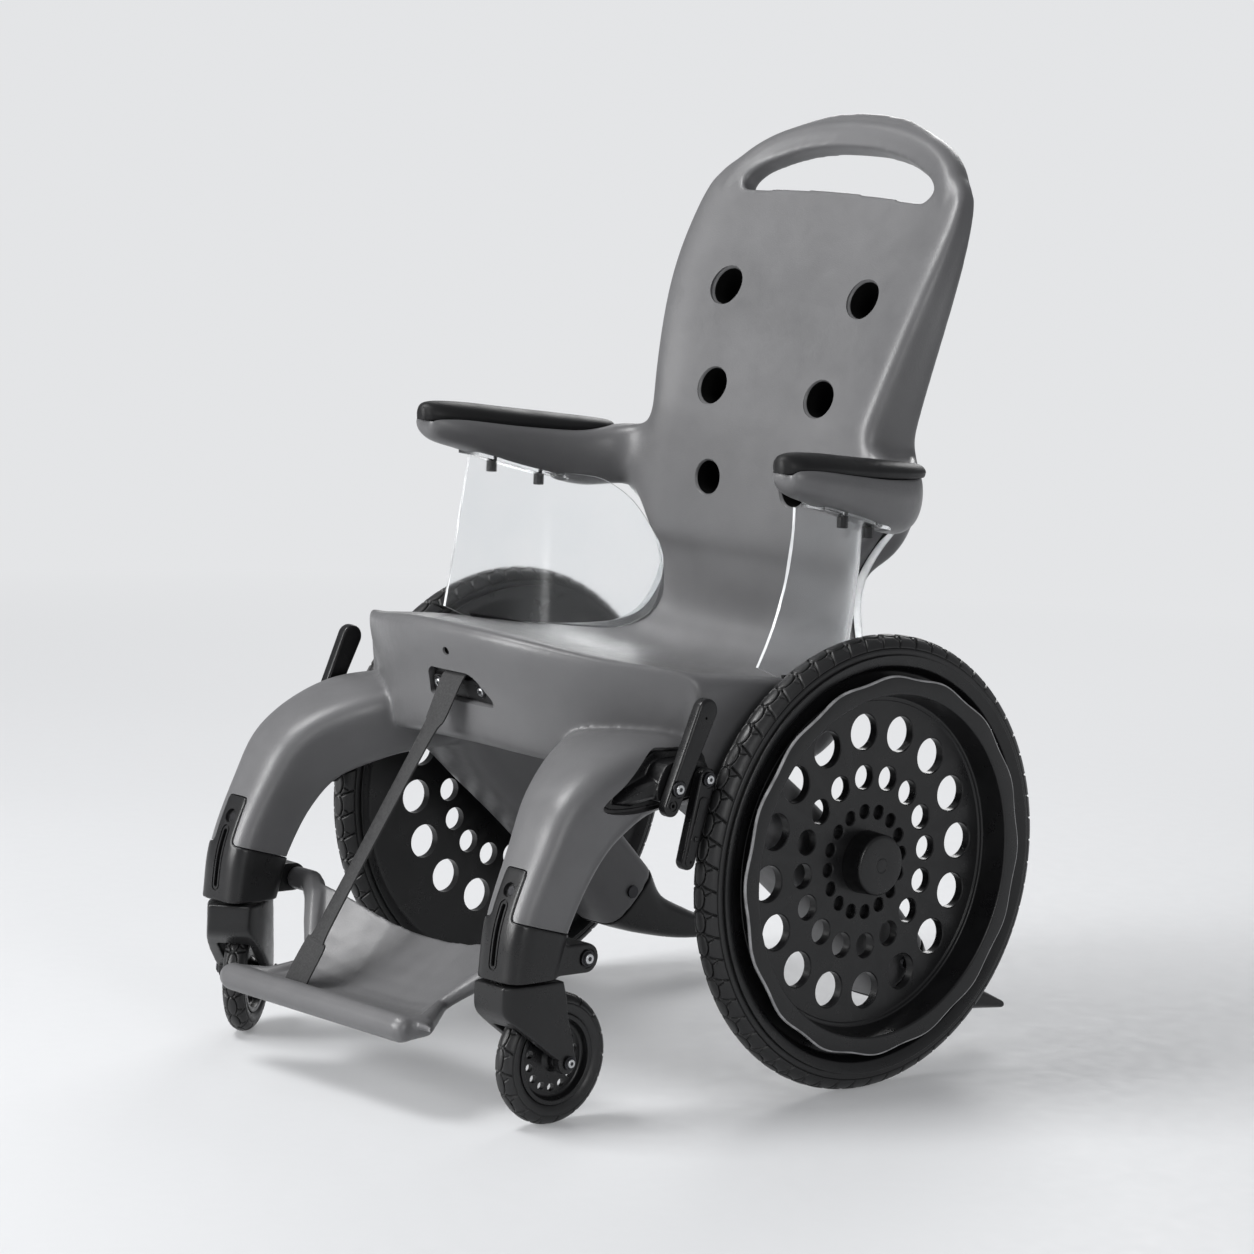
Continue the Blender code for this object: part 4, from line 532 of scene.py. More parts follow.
def skin_points(number, column):
    """Inner and outer skin of the moulding where a column crosses a row of its spine."""
    row = SPINE[number]
    middle, along, normal = spine_frame(row)
    share = math.copysign(COLUMNS[abs(column)], column)
    half, dish, sweep, thickness, widening, lean = row[3:]
    inner = middle + normal * dish * share ** 2 + along * sweep * abs(share) ** 2.5
    inner = inner + np.array([half * share, 0.0, 0.0])
    thickness *= 1 - (1 - THIN_ROWS.get(number, 1.0)) * share ** 2
    outer = inner - normal * thickness + along * lean
    outer[0] *= 1 + widening
    return inner, outer


def body_cage():
    """Points and four-sided faces of the seat, back and arm wings, as one closed net."""
    points, faces, lookup = [], [], {}

    def add(key, place):
        lookup[key] = len(points)
        points.append(np.array(place, dtype=float))

    reach = len(COLUMNS) - 1
    last = len(SPINE) - 1
    for number in range(len(SPINE)):
        for column in range(-reach, reach + 1):
            inner, outer = skin_points(number, column)
            add(("in", number, column), inner)
            add(("out", number, column), outer)
            between = (inner + outer) / 2
            if abs(column) == reach:
                between[0] += math.copysign(EDGE_BULGE, column)
                add(("edge", number, column), between)
            elif number in (0, last):
                add(("edge", number, column), between)
    for number in range(last):
        for column in range(-reach, reach):
            for skin in ("in", "out"):
                faces.append([(skin, number, column), (skin, number, column + 1),
                              (skin, number + 1, column + 1), (skin, number + 1, column)])
        for column in (-reach, reach):
            if number == ARM_ROOT:
                continue
            for first, second in (("in", "edge"), ("edge", "out")):
                faces.append([(first, number, column), (second, number, column),
                              (second, number + 1, column), (first, number + 1, column)])
    for number in (0, last):
        for column in range(-reach, reach):
            for first, second in (("in", "edge"), ("edge", "out")):
                faces.append([(first, number, column), (first, number, column + 1),
                              (second, number, column + 1), (second, number, column)])
    for side in (-1, 1):
        column = side * reach
        ring = [("in", ARM_ROOT, column), ("edge", ARM_ROOT, column), ("out", ARM_ROOT, column),
                ("out", ARM_ROOT + 1, column), ("edge", ARM_ROOT + 1, column),
                ("in", ARM_ROOT + 1, column)]
        for number, (row, heading) in enumerate(zip(ARM, ARM_TURN)):
            x, y, half, top, bottom = row
            angle = math.radians(heading)
            across = np.array([-math.sin(angle), math.cos(angle)])
            middle = (top + bottom) / 2
            crown = 0.12 * (top - bottom)
            corners = ((-1, bottom + 2 * crown), (0, bottom), (1, bottom + 2 * crown),
                       (1, top - crown / 2), (0, top), (-1, top - crown / 2))
            new_ring = []
            for spot, (share, height) in enumerate(corners):
                key = ("arm", side, number, spot)
                add(key, (side * (x + across[0] * half * share), y + across[1] * half * share,
                          height if abs(share) < 1 else 0.9 * height + 0.1 * middle))
                new_ring.append(key)
            for spot in range(6):
                after = (spot + 1) % 6
                faces.append([ring[spot], ring[after], new_ring[after], new_ring[spot]])
            ring = new_ring
        faces.append([ring[0], ring[1], ring[4], ring[5]])
        faces.append([ring[1], ring[2], ring[3], ring[4]])
    return points, [[lookup[key] for key in face] for face in faces]


def pull_through(points, faces):
    """Moves a net's points until its smooth surface passes through where they were."""
    target = np.array(points)
    count = len(target)
    beside, across = np.zeros((count, count)), np.zeros((count, count))
    for face in faces:
        for spot, point in enumerate(face):
            beside[point, face[(spot + 1) % 4]] = 1
            beside[face[(spot + 1) % 4], point] = 1
            across[point, face[(spot + 2) % 4]] += 1
    valence = beside.sum(axis=1, keepdims=True)
    place = target.copy()
    for _ in range(12):
        limit = (valence ** 2 * place + 4 * beside @ place + across @ place)
        limit = limit / (valence * (valence + 5))
        place = place + 0.9 * (target - limit)
    return place


def growth(points, amount):
    """Outline points moved outwards by an amount, for (y, z) outlines given in either turn."""
    area = 0.0
    for step, point in enumerate(points):
        after = points[(step + 1) % len(points)]
        area += point[0] * after[1] - after[0] * point[1]
    turn = 1.0 if area > 0 else -1.0
    grown = []
    for step, point in enumerate(points):
        before, after = points[step - 1], points[(step + 1) % len(points)]
        one = Vector((point[0] - before[0], point[1] - before[1])).normalized()
        two = Vector((after[0] - point[0], after[1] - point[1])).normalized()
        side = (Vector((one.y, -one.x)) + Vector((two.y, -two.x))) * turn
        share = amount / max(0.3, 0.5 * side.length_squared)
        grown.append((point[0] + side.x * share, point[1] + side.y * share))
    return grown


def turned(start, direction, rows, segments):
    """A solid of round sections along a line, from (distance, radius) rows."""
    start, direction = Vector(start), Vector(direction).normalized()
    turn = direction.to_track_quat("Z", "Y").to_matrix()
    rings = []
    for distance, radius in rows:
        ring = []
        for step in range(segments):
            angle = 2 * PI * step / segments
            spot = Vector((radius * math.cos(angle), radius * math.sin(angle), distance))
            ring.append(start + turn @ spot)
        rings.append(ring)
    return loft_mesh(rings)


def spine_at(height, x=0.0):
    """A place on the back's middle surface at a height, and the direction out of its front."""
    rows = [row for row in SPINE if row[1] >= 0.50 and row[2] > 45]
    heights = [row[1] for row in rows]
    y = float(np.interp(height, heights, [row[0] for row in rows]))
    slope = math.radians(float(np.interp(height, heights, [row[2] for row in rows])))
    return Vector((x, y, height)), Vector((0.0, -math.sin(slope), math.cos(slope)))


def bracket_point(x, up, out):
    """A place on the strap bracket: across, up along its face, and out from its middle."""
    return Vector((x, BRACKET_CENTRE[1] - up * math.sin(BRACKET_TILT) - out * math.cos(BRACKET_TILT),
                   BRACKET_CENTRE[2] + up * math.cos(BRACKET_TILT) - out * math.sin(BRACKET_TILT)))


def bracket_prism(outline, low, high):
    """A solid square to the bracket's face, between two distances out from it."""
    return loft_mesh([[bracket_point(x, up, out) for x, up in outline] for out in (low, high)])


# materials


def feed(tree, node, inputs):
    """Fills a node's inputs with values, or links them where an output is given."""
    for name, value in inputs.items():
        if isinstance(value, bpy.types.NodeSocket):
            tree.links.new(value, node.inputs[name])
        else:
            node.inputs[name].default_value = value
    return node


def add_node(tree, kind, inputs, operation=None):
    node = tree.nodes.new("ShaderNode" + kind)
    if operation:
        node.operation = operation
    return feed(tree, node, inputs)


class Nodes:
    """Short names for building a node material."""

    def __init__(self, name):
        self.material = bpy.data.materials.new(name)
        self.material.use_nodes = True
        self.tree = self.material.node_tree
        self.shader = self.tree.nodes["Principled BSDF"]
        self.place = self.add("TexCoord", {}).outputs["Object"]

    def add(self, kind, inputs, operation=None):
        return add_node(self.tree, kind, inputs, operation)

    def look(self, inputs):
        """Fills the shader's inputs."""
        feed(self.tree, self.shader, inputs)

    def kept(self, name):
        """Reads what a mesh keeps on its points under a name."""
        node = self.add("Attribute", {})
        node.attribute_name = name
        return node

    def noise(self, scale, detail=3.0, roughness=0.55):
        return self.add("TexNoise", {"Scale": scale, "Detail": detail, "Roughness": roughness,
                                     "Vector": self.place}).outputs["Fac"]

    def ramp(self, value, *stops):
        node = self.add("ValToRGB", {"Fac": value})
        elements = node.color_ramp.elements
        while len(elements) < len(stops):
            elements.new(0.5)
        for element, (position, colour) in zip(elements, stops):
            element.position = position
            element.color = (*colour, 1.0)
        return node.outputs["Color"]

    def spread(self, value, low, high, start=0.3, end=0.7):
        return self.add("MapRange", {"Value": value, "From Min": start, "From Max": end,
                                     "To Min": low, "To Max": high}).outputs["Result"]

    def math(self, operation, *values):
        return self.add("Math", dict(enumerate(values)), operation).outputs["Value"]

    def bump(self, height, distance):
        node = self.add("Bump", {"Height": height, "Distance": distance, "Strength": 1.0})
        self.look({"Normal": node.outputs["Normal"]})


def plastic_nodes(name, colour, roughness, grain, depth, spread, patch=9.0, specular=0.5):
    """Moulded plastic: slightly cloudy colour, fine spark texture, uneven sheen."""
    nodes = Nodes(name)
    dark = tuple(value * (1 - spread) for value in colour)
    light = tuple(value * (1 + spread) for value in colour)
    fine = nodes.noise(grain, 2.0, 0.6)
    wear = nodes.math("ADD", nodes.noise(38.0, 4.0, 0.65), nodes.math("MULTIPLY", fine, 0.35))
    nodes.look({"Base Color": nodes.ramp(nodes.noise(patch, 5.0), (0.3, dark), (0.5, colour), (0.72, light)),
                "Roughness": nodes.spread(wear, roughness - 0.06, roughness + 0.07, 0.45, 0.95),
                "Specular IOR Level": specular})
    nodes.bump(fine, depth)
    return nodes


def plastic(*look, **more):
    return plastic_nodes(*look, **more).material


def clear_plastic():
    """Clear polycarbonate: see-through sheet with a faint haze and fine polish marks."""
    nodes = Nodes("clear_panel_look")
    haze = nodes.ramp(nodes.noise(11.0, 4.0), (0.3, (0.93, 0.95, 0.96)), (0.7, (0.985, 0.99, 0.995)))
    nodes.look({"Base Color": haze, "Roughness": nodes.spread(nodes.noise(160.0, 3.0, 0.7), 0.13, 0.21),
                "Transmission Weight": 0.985, "IOR": 1.25})
    nodes.bump(nodes.noise(6.0, 1.0), 0.0006)
    return nodes.material


def frosted_edge_and_highlight():
    """The cut border of a clear sheet, whitish partly as a frosted cut face and partly as a painted highlight
    of the light it gathers; also the pale lip's painted highlight.
    """
    nodes = Nodes("clear_edge_look")
    cloud = nodes.noise(90.0, 3.0)
    nodes.look({"Base Color": nodes.ramp(cloud, (0.3, (0.80, 0.82, 0.83)), (0.7, (0.95, 0.96, 0.97))),
                "Roughness": nodes.spread(cloud, 0.12, 0.26), "Transmission Weight": 0.35, "IOR": 1.45})
    return nodes.material


def steel(name, colour, roughness):
    nodes = Nodes(name)
    dark = tuple(value * 0.8 for value in colour)
    fine = nodes.noise(900.0, 2.0)
    nodes.look({"Base Color": nodes.ramp(nodes.noise(60.0, 4.0), (0.3, dark), (0.7, colour)),
                "Roughness": nodes.spread(fine, roughness - 0.08, roughness + 0.1), "Metallic": 1.0})
    nodes.bump(fine, 0.00005)
    return nodes.material


def webbing():
    """Woven strap: ribs across the strap's length, with a finer weave over them."""
    nodes = Nodes("webbing_look")
    split = nodes.add("SeparateXYZ", {"Vector": nodes.kept("along_strap").outputs["Vector"]})
    rows, threads = (nodes.math("SINE", nodes.math("MULTIPLY", split.outputs[axis], 2 * PI / pitch))
                     for axis, pitch in (("Y", 0.0016), ("X", 0.0021)))
    weave = nodes.math("ADD", nodes.math("MULTIPLY", nodes.math("MULTIPLY", rows, threads), 0.25),
                       nodes.math("MULTIPLY", threads, 0.12))
    weave = nodes.math("ADD", weave, 0.5)
    fuzz = nodes.noise(420.0, 3.0)
    shade = nodes.math("ADD", nodes.math("MULTIPLY", weave, 0.7), nodes.math("MULTIPLY", fuzz, 0.3))
    tint = nodes.ramp(shade, (0.25, (0.005, 0.005, 0.0055)), (0.75, (0.022, 0.022, 0.023)))
    nodes.look({"Base Color": tint, "Roughness": nodes.spread(fuzz, 0.62, 0.9), "Sheen Weight": 0.08,
                "Sheen Roughness": 0.5})
    nodes.bump(shade, 0.0004)
    return nodes.material


def floor_look():
    """Pale floor with shadows near the chair; farther out it takes the backdrop's even tone."""
    nodes = Nodes("floor_look")
    tint = nodes.ramp(nodes.noise(0.8, 2.0), (0.2, (0.60, 0.608, 0.62)), (0.8, (0.63, 0.638, 0.65)))
    nodes.look({"Base Color": tint, "Roughness": nodes.spread(nodes.noise(40.0), 0.55, 0.7)})
    distance = nodes.add("VectorMath", {0: nodes.place}, "LENGTH")
    away = nodes.spread(distance.outputs["Value"], 0.25, 1.0, 1.2, 4.2)
    glow = nodes.add("Emission", {"Color": (*BACKDROP, 1.0), "Strength": 1.0})
    mix = nodes.add("MixShader", {"Fac": away, 1: nodes.shader.outputs["BSDF"],
                                  2: glow.outputs["Emission"]})
    feed(nodes.tree, nodes.tree.nodes["Material Output"], {"Surface": mix.outputs["Shader"]})
    return nodes.material


def tyre_rubber():
    """Satin rubber with painted shade in the tread: the colour goes near black where the tread is cut, from
    the depth kept on the tyre's points.
    """
    nodes = plastic_nodes("tyre_rubber", (0.0115, 0.0115, 0.0120), 0.42, 480.0, 0.00012, 0.25,
                          specular=0.44)
    colour = nodes.shader.inputs["Base Color"].links[0].from_socket
    mix = nodes.add("Mix", {})
    mix.data_type = "RGBA"
    depth = nodes.spread(nodes.kept("press").outputs["Fac"], 0.0, 1.0, 0.22, 0.75)
    # painted shade: near-black colour where the tread's cut is deep
    feed(nodes.tree, mix, {"Factor": depth, "A": colour, "B": (0.0006, 0.0006, 0.0006, 1.0)})
    nodes.look({"Base Color": mix.outputs["Result"]})
    return nodes.material


# near-black painted shade for the inside of the holes, where light does not reach
HOLE = plastic("hole_shade", (0.004, 0.004, 0.004), 0.6, 620.0, 0.0001, 0.2, specular=0.05)
GREY = plastic("moulded_grey", (0.102, 0.102, 0.105), 0.38, 620.0, 0.00016, 0.10, specular=0.5)
SLEEVE = plastic("sleeve_black", (0.0095, 0.0095, 0.0100), 0.31, 700.0, 0.00010, 0.18, specular=0.36)
DISC = plastic("wheel_black", (0.0055, 0.0055, 0.0060), 0.31, 520.0, 0.00010, 0.20, specular=0.42)
BRAKE = plastic("brake_black", (0.0055, 0.0055, 0.0060), 0.30, 800.0, 0.00008, 0.20, specular=0.36)
TYRE = tyre_rubber()
# pale strip that paints the highlight where light catches the hand-rim's edge fillet
RIM_PAINTED_HIGHLIGHT = plastic("worn_edge", (0.26, 0.26, 0.265), 0.36, 300.0, 0.00010, 0.35, 60.0)
RUBBER = plastic("seal_rubber", (0.0050, 0.0050, 0.0054), 0.55, 600.0, 0.00010, 0.20, specular=0.25)
SOFT_BLACK = plastic("pad_skin", (0.0080, 0.0080, 0.0085), 0.50, 850.0, 0.00005, 0.20, specular=0.24)
CLEAR = clear_plastic()
# whitish look for panel borders and the trim lip: frosted cut edge with a painted highlight
EDGE = frosted_edge_and_highlight()
STEEL = steel("steel_look", (0.60, 0.61, 0.62), 0.28)
DARK_STEEL = steel("dark_steel_look", (0.060, 0.060, 0.064), 0.34)
WEBBING = webbing()


# the moulded body


def closed_curve(points, between):
    """A smooth closed line through points."""
    rows = list(points[-2:]) + list(points) + list(points[:2])
    fine = resample(rows, between)
    return [tuple(point) for point in fine[2 * between:(len(points) + 2) * between]]


def slot_cutter():
    """The handle slot as a loft through the back, with a smoother outline than the solid's."""
    half = SLOT_LOW + SLOT_HIGH
    outline = closed_curve(half + tuple((-x, height) for x, height in reversed(half[1:-1])), 5)
    _, normal = spine_at(SLOT_MIDDLE)
    return loft_mesh([[spine_at(height, x)[0] + normal * distance for x, height in outline]
                      for distance in (-0.090, 0.060)])


def tube_mesh(points, radii, count=28):
    """A closed tube through points, with a radius at each."""
    rings = []
    for number, point in enumerate(points):
        before, after = neighbours(points, number)
        heading = (Vector(after) - Vector(before)).normalized()
        aside = heading.cross((0.0, 0.8, 0.6)).normalized()
        above = aside.cross(heading).normalized()
        rings.append([Vector(point) + (aside * math.cos(2 * PI * step / count)
                                       + above * math.sin(2 * PI * step / count)) * radii[number]
                      for step in range(count)])
    return loft_mesh(rings)


# half of the grip over the slot: across, height, radius, how far it's sunk into the back
GRIP = ((0.0, 1.0705, 0.0195, 0.0115), (0.050, 1.0680, 0.0195, 0.0115), (0.097, 1.0595, 0.0195, 0.0115),
        (0.136, 1.0460, 0.0195, 0.0115), (0.166, 1.0260, 0.0195, 0.0117), (0.183, 1.0020, 0.0190, 0.0125),
        (0.190, 0.9700, 0.0180, 0.0145), (0.192, 0.9350, 0.0165, 0.0175))
GRIP_START = 0.998
GRIP_FADE = 0.010


def grip_tube():
    """The rounded grip over the slot, which runs out into the back on both sides."""
    rows = [(-x, height, radius, sink) for x, height, radius, sink in reversed(GRIP[1:])] + list(GRIP)
    points, radii = [], []
    for x, height, radius, sink in resample(rows, 6):
        place, normal = spine_at(height, x)
        points.append(place - normal * sink)
        radii.append(radius)
    return tube_mesh(points, radii)


def round_grip(body):
    """Smooths the bar over the slot much more than the rest, until it is round."""
    group = body.vertex_groups.new(name="grip")
    heights = np.empty(3 * len(body.data.vertices), dtype=np.float32)
    body.data.vertices.foreach_get("co", heights)
    share = np.clip((heights.reshape(-1, 3)[:, 2] - GRIP_START) / GRIP_FADE, 0.0, 1.0)
    for level in range(1, 6):
        chosen = np.nonzero((share > (level - 1) / 5) & (share <= level / 5))[0]
        group.add([int(number) for number in chosen], level / 5, "REPLACE")
    rounding = body.modifiers.new("round", "SMOOTH")
    rounding.vertex_group = "grip"
    rounding.factor = 0.5
    rounding.iterations = 34
    settle(body)


# the space of a leg's sleeve, in the side view: its upper side lies square to the leg
SLEEVE_ZONE = ((-0.560, 0.100), (-0.360, 0.100), (-0.360, 0.2020), (-0.560, 0.2560))
SLEEVE_ZONE_HALF = 0.060
TAB_PLAY = 0.001


def sleeve_space(side, grow):
    """A leg below the split line, with the tab up its front."""
    middle = side * (ARCH[1][4] + ARCH[1][5]) / 2
    zone = new_object("zone", prism_mesh(SLEEVE_ZONE, middle - SLEEVE_ZONE_HALF, middle + SLEEVE_ZONE_HALF))
    half = TAB_HALF_WIDTH + TAB_PLAY
    combine(zone, prism_mesh(TAB_ZONE, middle - half, middle + half), "UNION")
    soften(zone, 0.0025, 12)
    if grow:
        swell = zone.modifiers.new("grow", "DISPLACE")
        swell.mid_level = 0.0
        swell.strength = grow
        settle(zone)
    mesh = zone.data
    drop(zone)
    return mesh


def panel_loft(side, grow):
    """The clear panel as in the solid, with more sections and a rounder bulge."""
    rows = resample(PANEL, 6)
    rings = []
    for number, row in enumerate(rows):
        before, after = neighbours(rows, number)
        ring = []
        for which in (-1, 1):
            column = []
            for level in range(PANEL_LEVELS):
                share = level / (PANEL_LEVELS - 1)
                place = Vector(row[:3]).lerp(Vector(row[3:6]), share)
                place += Vector((row[6], 0.9 * row[6], 0.0)) * 4 * share * (1 - share)
                place.z += grow * (2 * share - 1)
                ahead = Vector(before[:3]).lerp(Vector(before[3:6]), share)
                behind = Vector(after[:3]).lerp(Vector(after[3:6]), share)
                heading = Vector((behind.x - ahead.x, behind.y - ahead.y, 0.0)).normalized()
                outwards = Vector((heading.y, -heading.x, 0.0))
                place += outwards * which * (PANEL_THICKNESS / 2 + grow)
                if number in (0, len(rows) - 1):
                    place += heading * (grow if number else -grow)
                column.append((side * place.x, place.y, place.z))
            ring += column if which < 0 else list(reversed(column))
        rings.append(ring)
    return loft_mesh(rings)


def flange_loft(side, grow, depth=0.0):
    """The panel's flange, or with a grow and a depth the space that it takes up under the arm."""
    rings = []
    rows = resample(FLANGE, 4)
    for number, (y, inner, outer, top) in enumerate(rows):
        y += grow * ((number == len(rows) - 1) - (number == 0))
        low, high = top - PANEL_THICKNESS - grow - depth, top + grow
        inner, outer = inner - grow, outer + grow
        rings.append([(side * inner, y, low), (side * outer, y, low),
                      (side * outer, y, high), (side * inner, y, high)])
    return loft_mesh(rings)


def pad_loft(side, grow):
    """A crowned pad with rounded ends, thickest at its front third, or the space that it fills."""
    rows = resample(PAD, 6)
    last = len(rows) - 1
    rings = []
    for number, (x, y, half, top) in enumerate(rows):
        before, after = neighbours(rows, number)
        heading = Vector((after[0] - before[0], after[1] - before[1], 0.0)).normalized()
        aside = Vector((heading.y, -heading.x, 0.0))
        along = number / last
        rise = PAD_HEIGHT * (0.30 + 0.76 * math.sin(PI * min(1.0, along + 0.03) ** 0.62) ** 0.8)
        place = Vector((x, y, 0.0))
        if number in (0, last):
            place += heading * (grow if number else -grow)
        ring = []
        for step in range(44):
            angle = 2 * PI * (step + 0.5) / 44
            share, height = rounded(math.cos(angle), 2.3), rounded(math.sin(angle), 2.0)
            if height < 0:
                share, height = rounded(math.cos(angle), 5.0) * 0.97, max(-1.0, 1.6 * height)
            spot = place + aside * share * (half + grow)
            level = top + (rise * height if height > 0 else PAD_SINK * height)
            level += grow if height > 0 else -grow
            ring.append((side * spot.x, spot.y, level))
        rings.append(ring)
    return loft_mesh(rings)


# the strap's recess: across and up along the bracket's face
RECESS = ((-0.0460, -0.0080), (0.0620, -0.0110), (0.0615, -0.0040), (0.0360, 0.0190),
          (0.0240, 0.0245), (-0.0400, 0.0245), (-0.0470, 0.0180))
# the raised front of the strap's plate, in the same directions
PLATE_FRONT = ((-0.0450, -0.0072), (0.0608, -0.0100), (0.0604, -0.0044), (0.0440, 0.0105),
               (0.0360, 0.0135), (-0.0400, 0.0135), (-0.0460, 0.0080))
# the small hole over the recess: its mouth's place, its direction outwards and its radius
FRONT_HOLE = ((-0.0049, -0.3590, 0.4824), (-0.027, -0.961, -0.274), 0.0044)


def back_hole(x, height, radius, depth, side):
    """Cutter of a back hole: a fine rounded mouth, a straight wall, and a drain at the rear."""
    place, normal = spine_at(height, side * x)
    rows = ((-0.014, radius + 0.0030), (-0.0004, radius + 0.0026), (0.0010, radius + 0.0012),
            (0.0024, radius + 0.0004), (0.0044, radius), (depth - 0.004, 0.93 * radius),
            (depth, 0.86 * radius), (depth, BACK_DRAIN_RADIUS), (0.110, BACK_DRAIN_RADIUS))
    return turned(place, -normal, rows, 64)


def make_body():
    """The grey moulding: the pulled cage with legs and grip joined on, softened, then cut."""
    points, faces = body_cage()
    body = new_object("moulded_body", face_outwards(mesh_of(pull_through(points, faces), faces)))
    smooth = body.modifiers.new("smooth", "SUBSURF")
    smooth.levels = 3
    smooth.render_levels = 3
    settle(body)
    for _, side in SIDES:
        rings = [section_ring(row, side) for row in resample(ARCH, 10)]
        combine(body, loft_mesh(rings), "UNION")
    combine(body, grip_tube(), "UNION")
    combine(body, slot_cutter())
    soften(body, 0.0026, 10)
    round_grip(body)
    pockets = [back_hole(*hole, side) for hole in BACK_HOLES for _, side in SIDES]
    for _, side in SIDES:
        outline = closed_curve(growth(BRAKE_BLOCK, 0.004), 6)
        pockets += [prism_mesh(outline, side * 0.2697, side * 0.32), sleeve_space(side, 0.0008),
                    pad_loft(side, 0.0012)]
    pockets.append(bracket_prism(filleted(RECESS, 6, 0.0050), -0.0023, 0.080))
    place, out, radius = FRONT_HOLE
    rows = ((-0.010, radius + 0.0012), (0.0004, radius + 0.0008), (0.0016, radius),
            (0.0140, 0.9 * radius))
    pockets.append(turned(Vector(place), -Vector(out).normalized(), rows, 32))
    combine(body, merged(pockets))
    combine(body, merged([panel_loft(side, 0.0006) for _, side in SIDES]))
    combine(body, merged([flange_loft(side, 0.0006, KNOB_HEIGHT) for _, side in SIDES]))
    show(in_chair(body), "chair", GREY, "body_shell", angle=32)
    shade_holes(body)


def shade_holes(body):
    """Paints shade inside the back's holes and the small front hole: past their rounded mouths the walls take
    a near-black painted shade.
    """
    mesh = body.data
    mesh.materials.append(HOLE)
    centres = np.empty(3 * len(mesh.polygons), dtype=np.float32)
    mesh.polygons.foreach_get("center", centres)
    centres = centres.reshape(-1, 3)
    slots = np.zeros(len(mesh.polygons), dtype=np.int32)

    def shade(place, out, radius, start, end):
        away = centres - (np.array(place) + np.array((0.0, CHAIR_Y, 0.0)))
        along = -away @ np.array(out)
        off_axis = np.linalg.norm(away + along[:, None] * np.array(out), axis=1)
        slots[(off_axis < radius) & (along > start) & (along < end)] = 1

    for _, side in SIDES:
        for x, height, radius, depth in BACK_HOLES:
            place, normal = spine_at(height, side * x)
            shade(place, normal, radius + 0.0008, 0.0030, depth + 0.0006)
            shade(place, normal, BACK_DRAIN_RADIUS + 0.0003, 0.0030, 0.09)
    place, out, radius = FRONT_HOLE
    shade(place, out, radius + 0.0006, 0.0012, 0.02)
    mesh.polygons.foreach_set("material_index", slots)


make_body()


# wheels


def tread_press(angles, around, count, radius, section):
    """How deep the tread is cut, from 0 to 1: a chain of ovals, and slanted shoulder grooves."""
    pitch = 2 * PI * radius / count
    along = (angles / (2 * PI / count) % 1.0 - 0.5) * pitch
    across = np.abs(around) * section
    oval = np.hypot(along / (0.485 * pitch), across / (0.44 * section))
    cut = np.exp(-((oval - 1.03) / 0.105) ** 2)
    lean = along - 0.42 * (across - 0.40 * section)
    lean = (lean / pitch % 1.0 - 0.5) * pitch
    shoulder = (across > 0.34 * section) & (across < 1.28 * section)
    cut = np.maximum(cut, np.where(shoulder, np.exp(-(lean / 0.0013) ** 2), 0.0))
    fork = along + 0.5 * (across - 0.46 * section) + 0.12 * pitch
    short = (across > 0.50 * section) & (across < 0.92 * section)
    cut = np.maximum(cut, np.where(short, 0.8 * np.exp(-(fork / 0.0012) ** 2), 0.0))
    ring = 0.6 * np.exp(-((across - 1.34 * section) / 0.0008) ** 2)
    dome = np.where(oval < 1.0, 0.16 * oval ** 2, 0.06)
    return np.maximum(np.maximum(cut, ring), dome)


def tyre_mesh(radius, section, edge, foot, foot_half, steps, count, depth):
    """A tyre with its tread; the depth of the cut is kept on its points for the material, which paints shade
    into the cuts.
    """
    middle = radius - section
    reach = math.acos((edge - middle) / section)
    loop = [(middle + section * math.cos(reach * (1 - 2 * step / (TYRE_POINTS - 1))),
             section * math.sin(reach * (1 - 2 * step / (TYRE_POINTS - 1)))) for step in range(TYRE_POINTS)]
    loop = [(foot, foot_half)] + loop + [(foot, -foot_half)]
    kept = []

    def change(angles, radii, heights):
        around = np.arctan2(heights, radii - middle)
        out = np.hypot(heights, radii - middle)
        tread = (out > 0.98 * section) & (np.abs(around) < 1.45)
        press = np.where(tread, tread_press(angles, around, count, radius, section), 0.0)
        kept.append(press)
        size = out - press * depth
        return (np.where(tread, middle + size * np.cos(around), radii),
                np.where(tread, size * np.sin(around), heights))

    mesh = revolve(loop, steps, change)
    attribute = mesh.attributes.new("press", "FLOAT", "POINT")
    attribute.data.foreach_set("value", kept[0].astype(np.float32).ravel())
    return mesh


def on_axle(mesh, side, x, y, z):
    """Lays a wheel that was swept round Z along the chair's X."""
    mesh.transform(Matrix.Translation((x, y, z)) @ Matrix.Rotation(side * PI / 2, 4, "Y"))
    return mesh


def handrim_waves(angles, radius, height):
    """Draws the hand-rim's outer edge in and out."""
    wave = HANDRIM_WAVE * (1 - np.cos(HANDRIM_WAVES * angles)) / 2
    edge = (radius > 0.2100) & (radius < 0.2176) & (height > HANDRIM_UNDER - 0.0008)
    return np.where(edge, radius - wave, radius), height


def ring_of_holes(ring, radius, count, low, high, start=0.0):
    """Rows for cylinders that stand in a ring round Z."""
    spots = [(ring * math.cos(start + 2 * PI * step / count), ring * math.sin(start + 2 * PI * step / count))
             for step in range(count)]
    return [((x, y, low), (x, y, high), radius, radius) for x, y in spots]


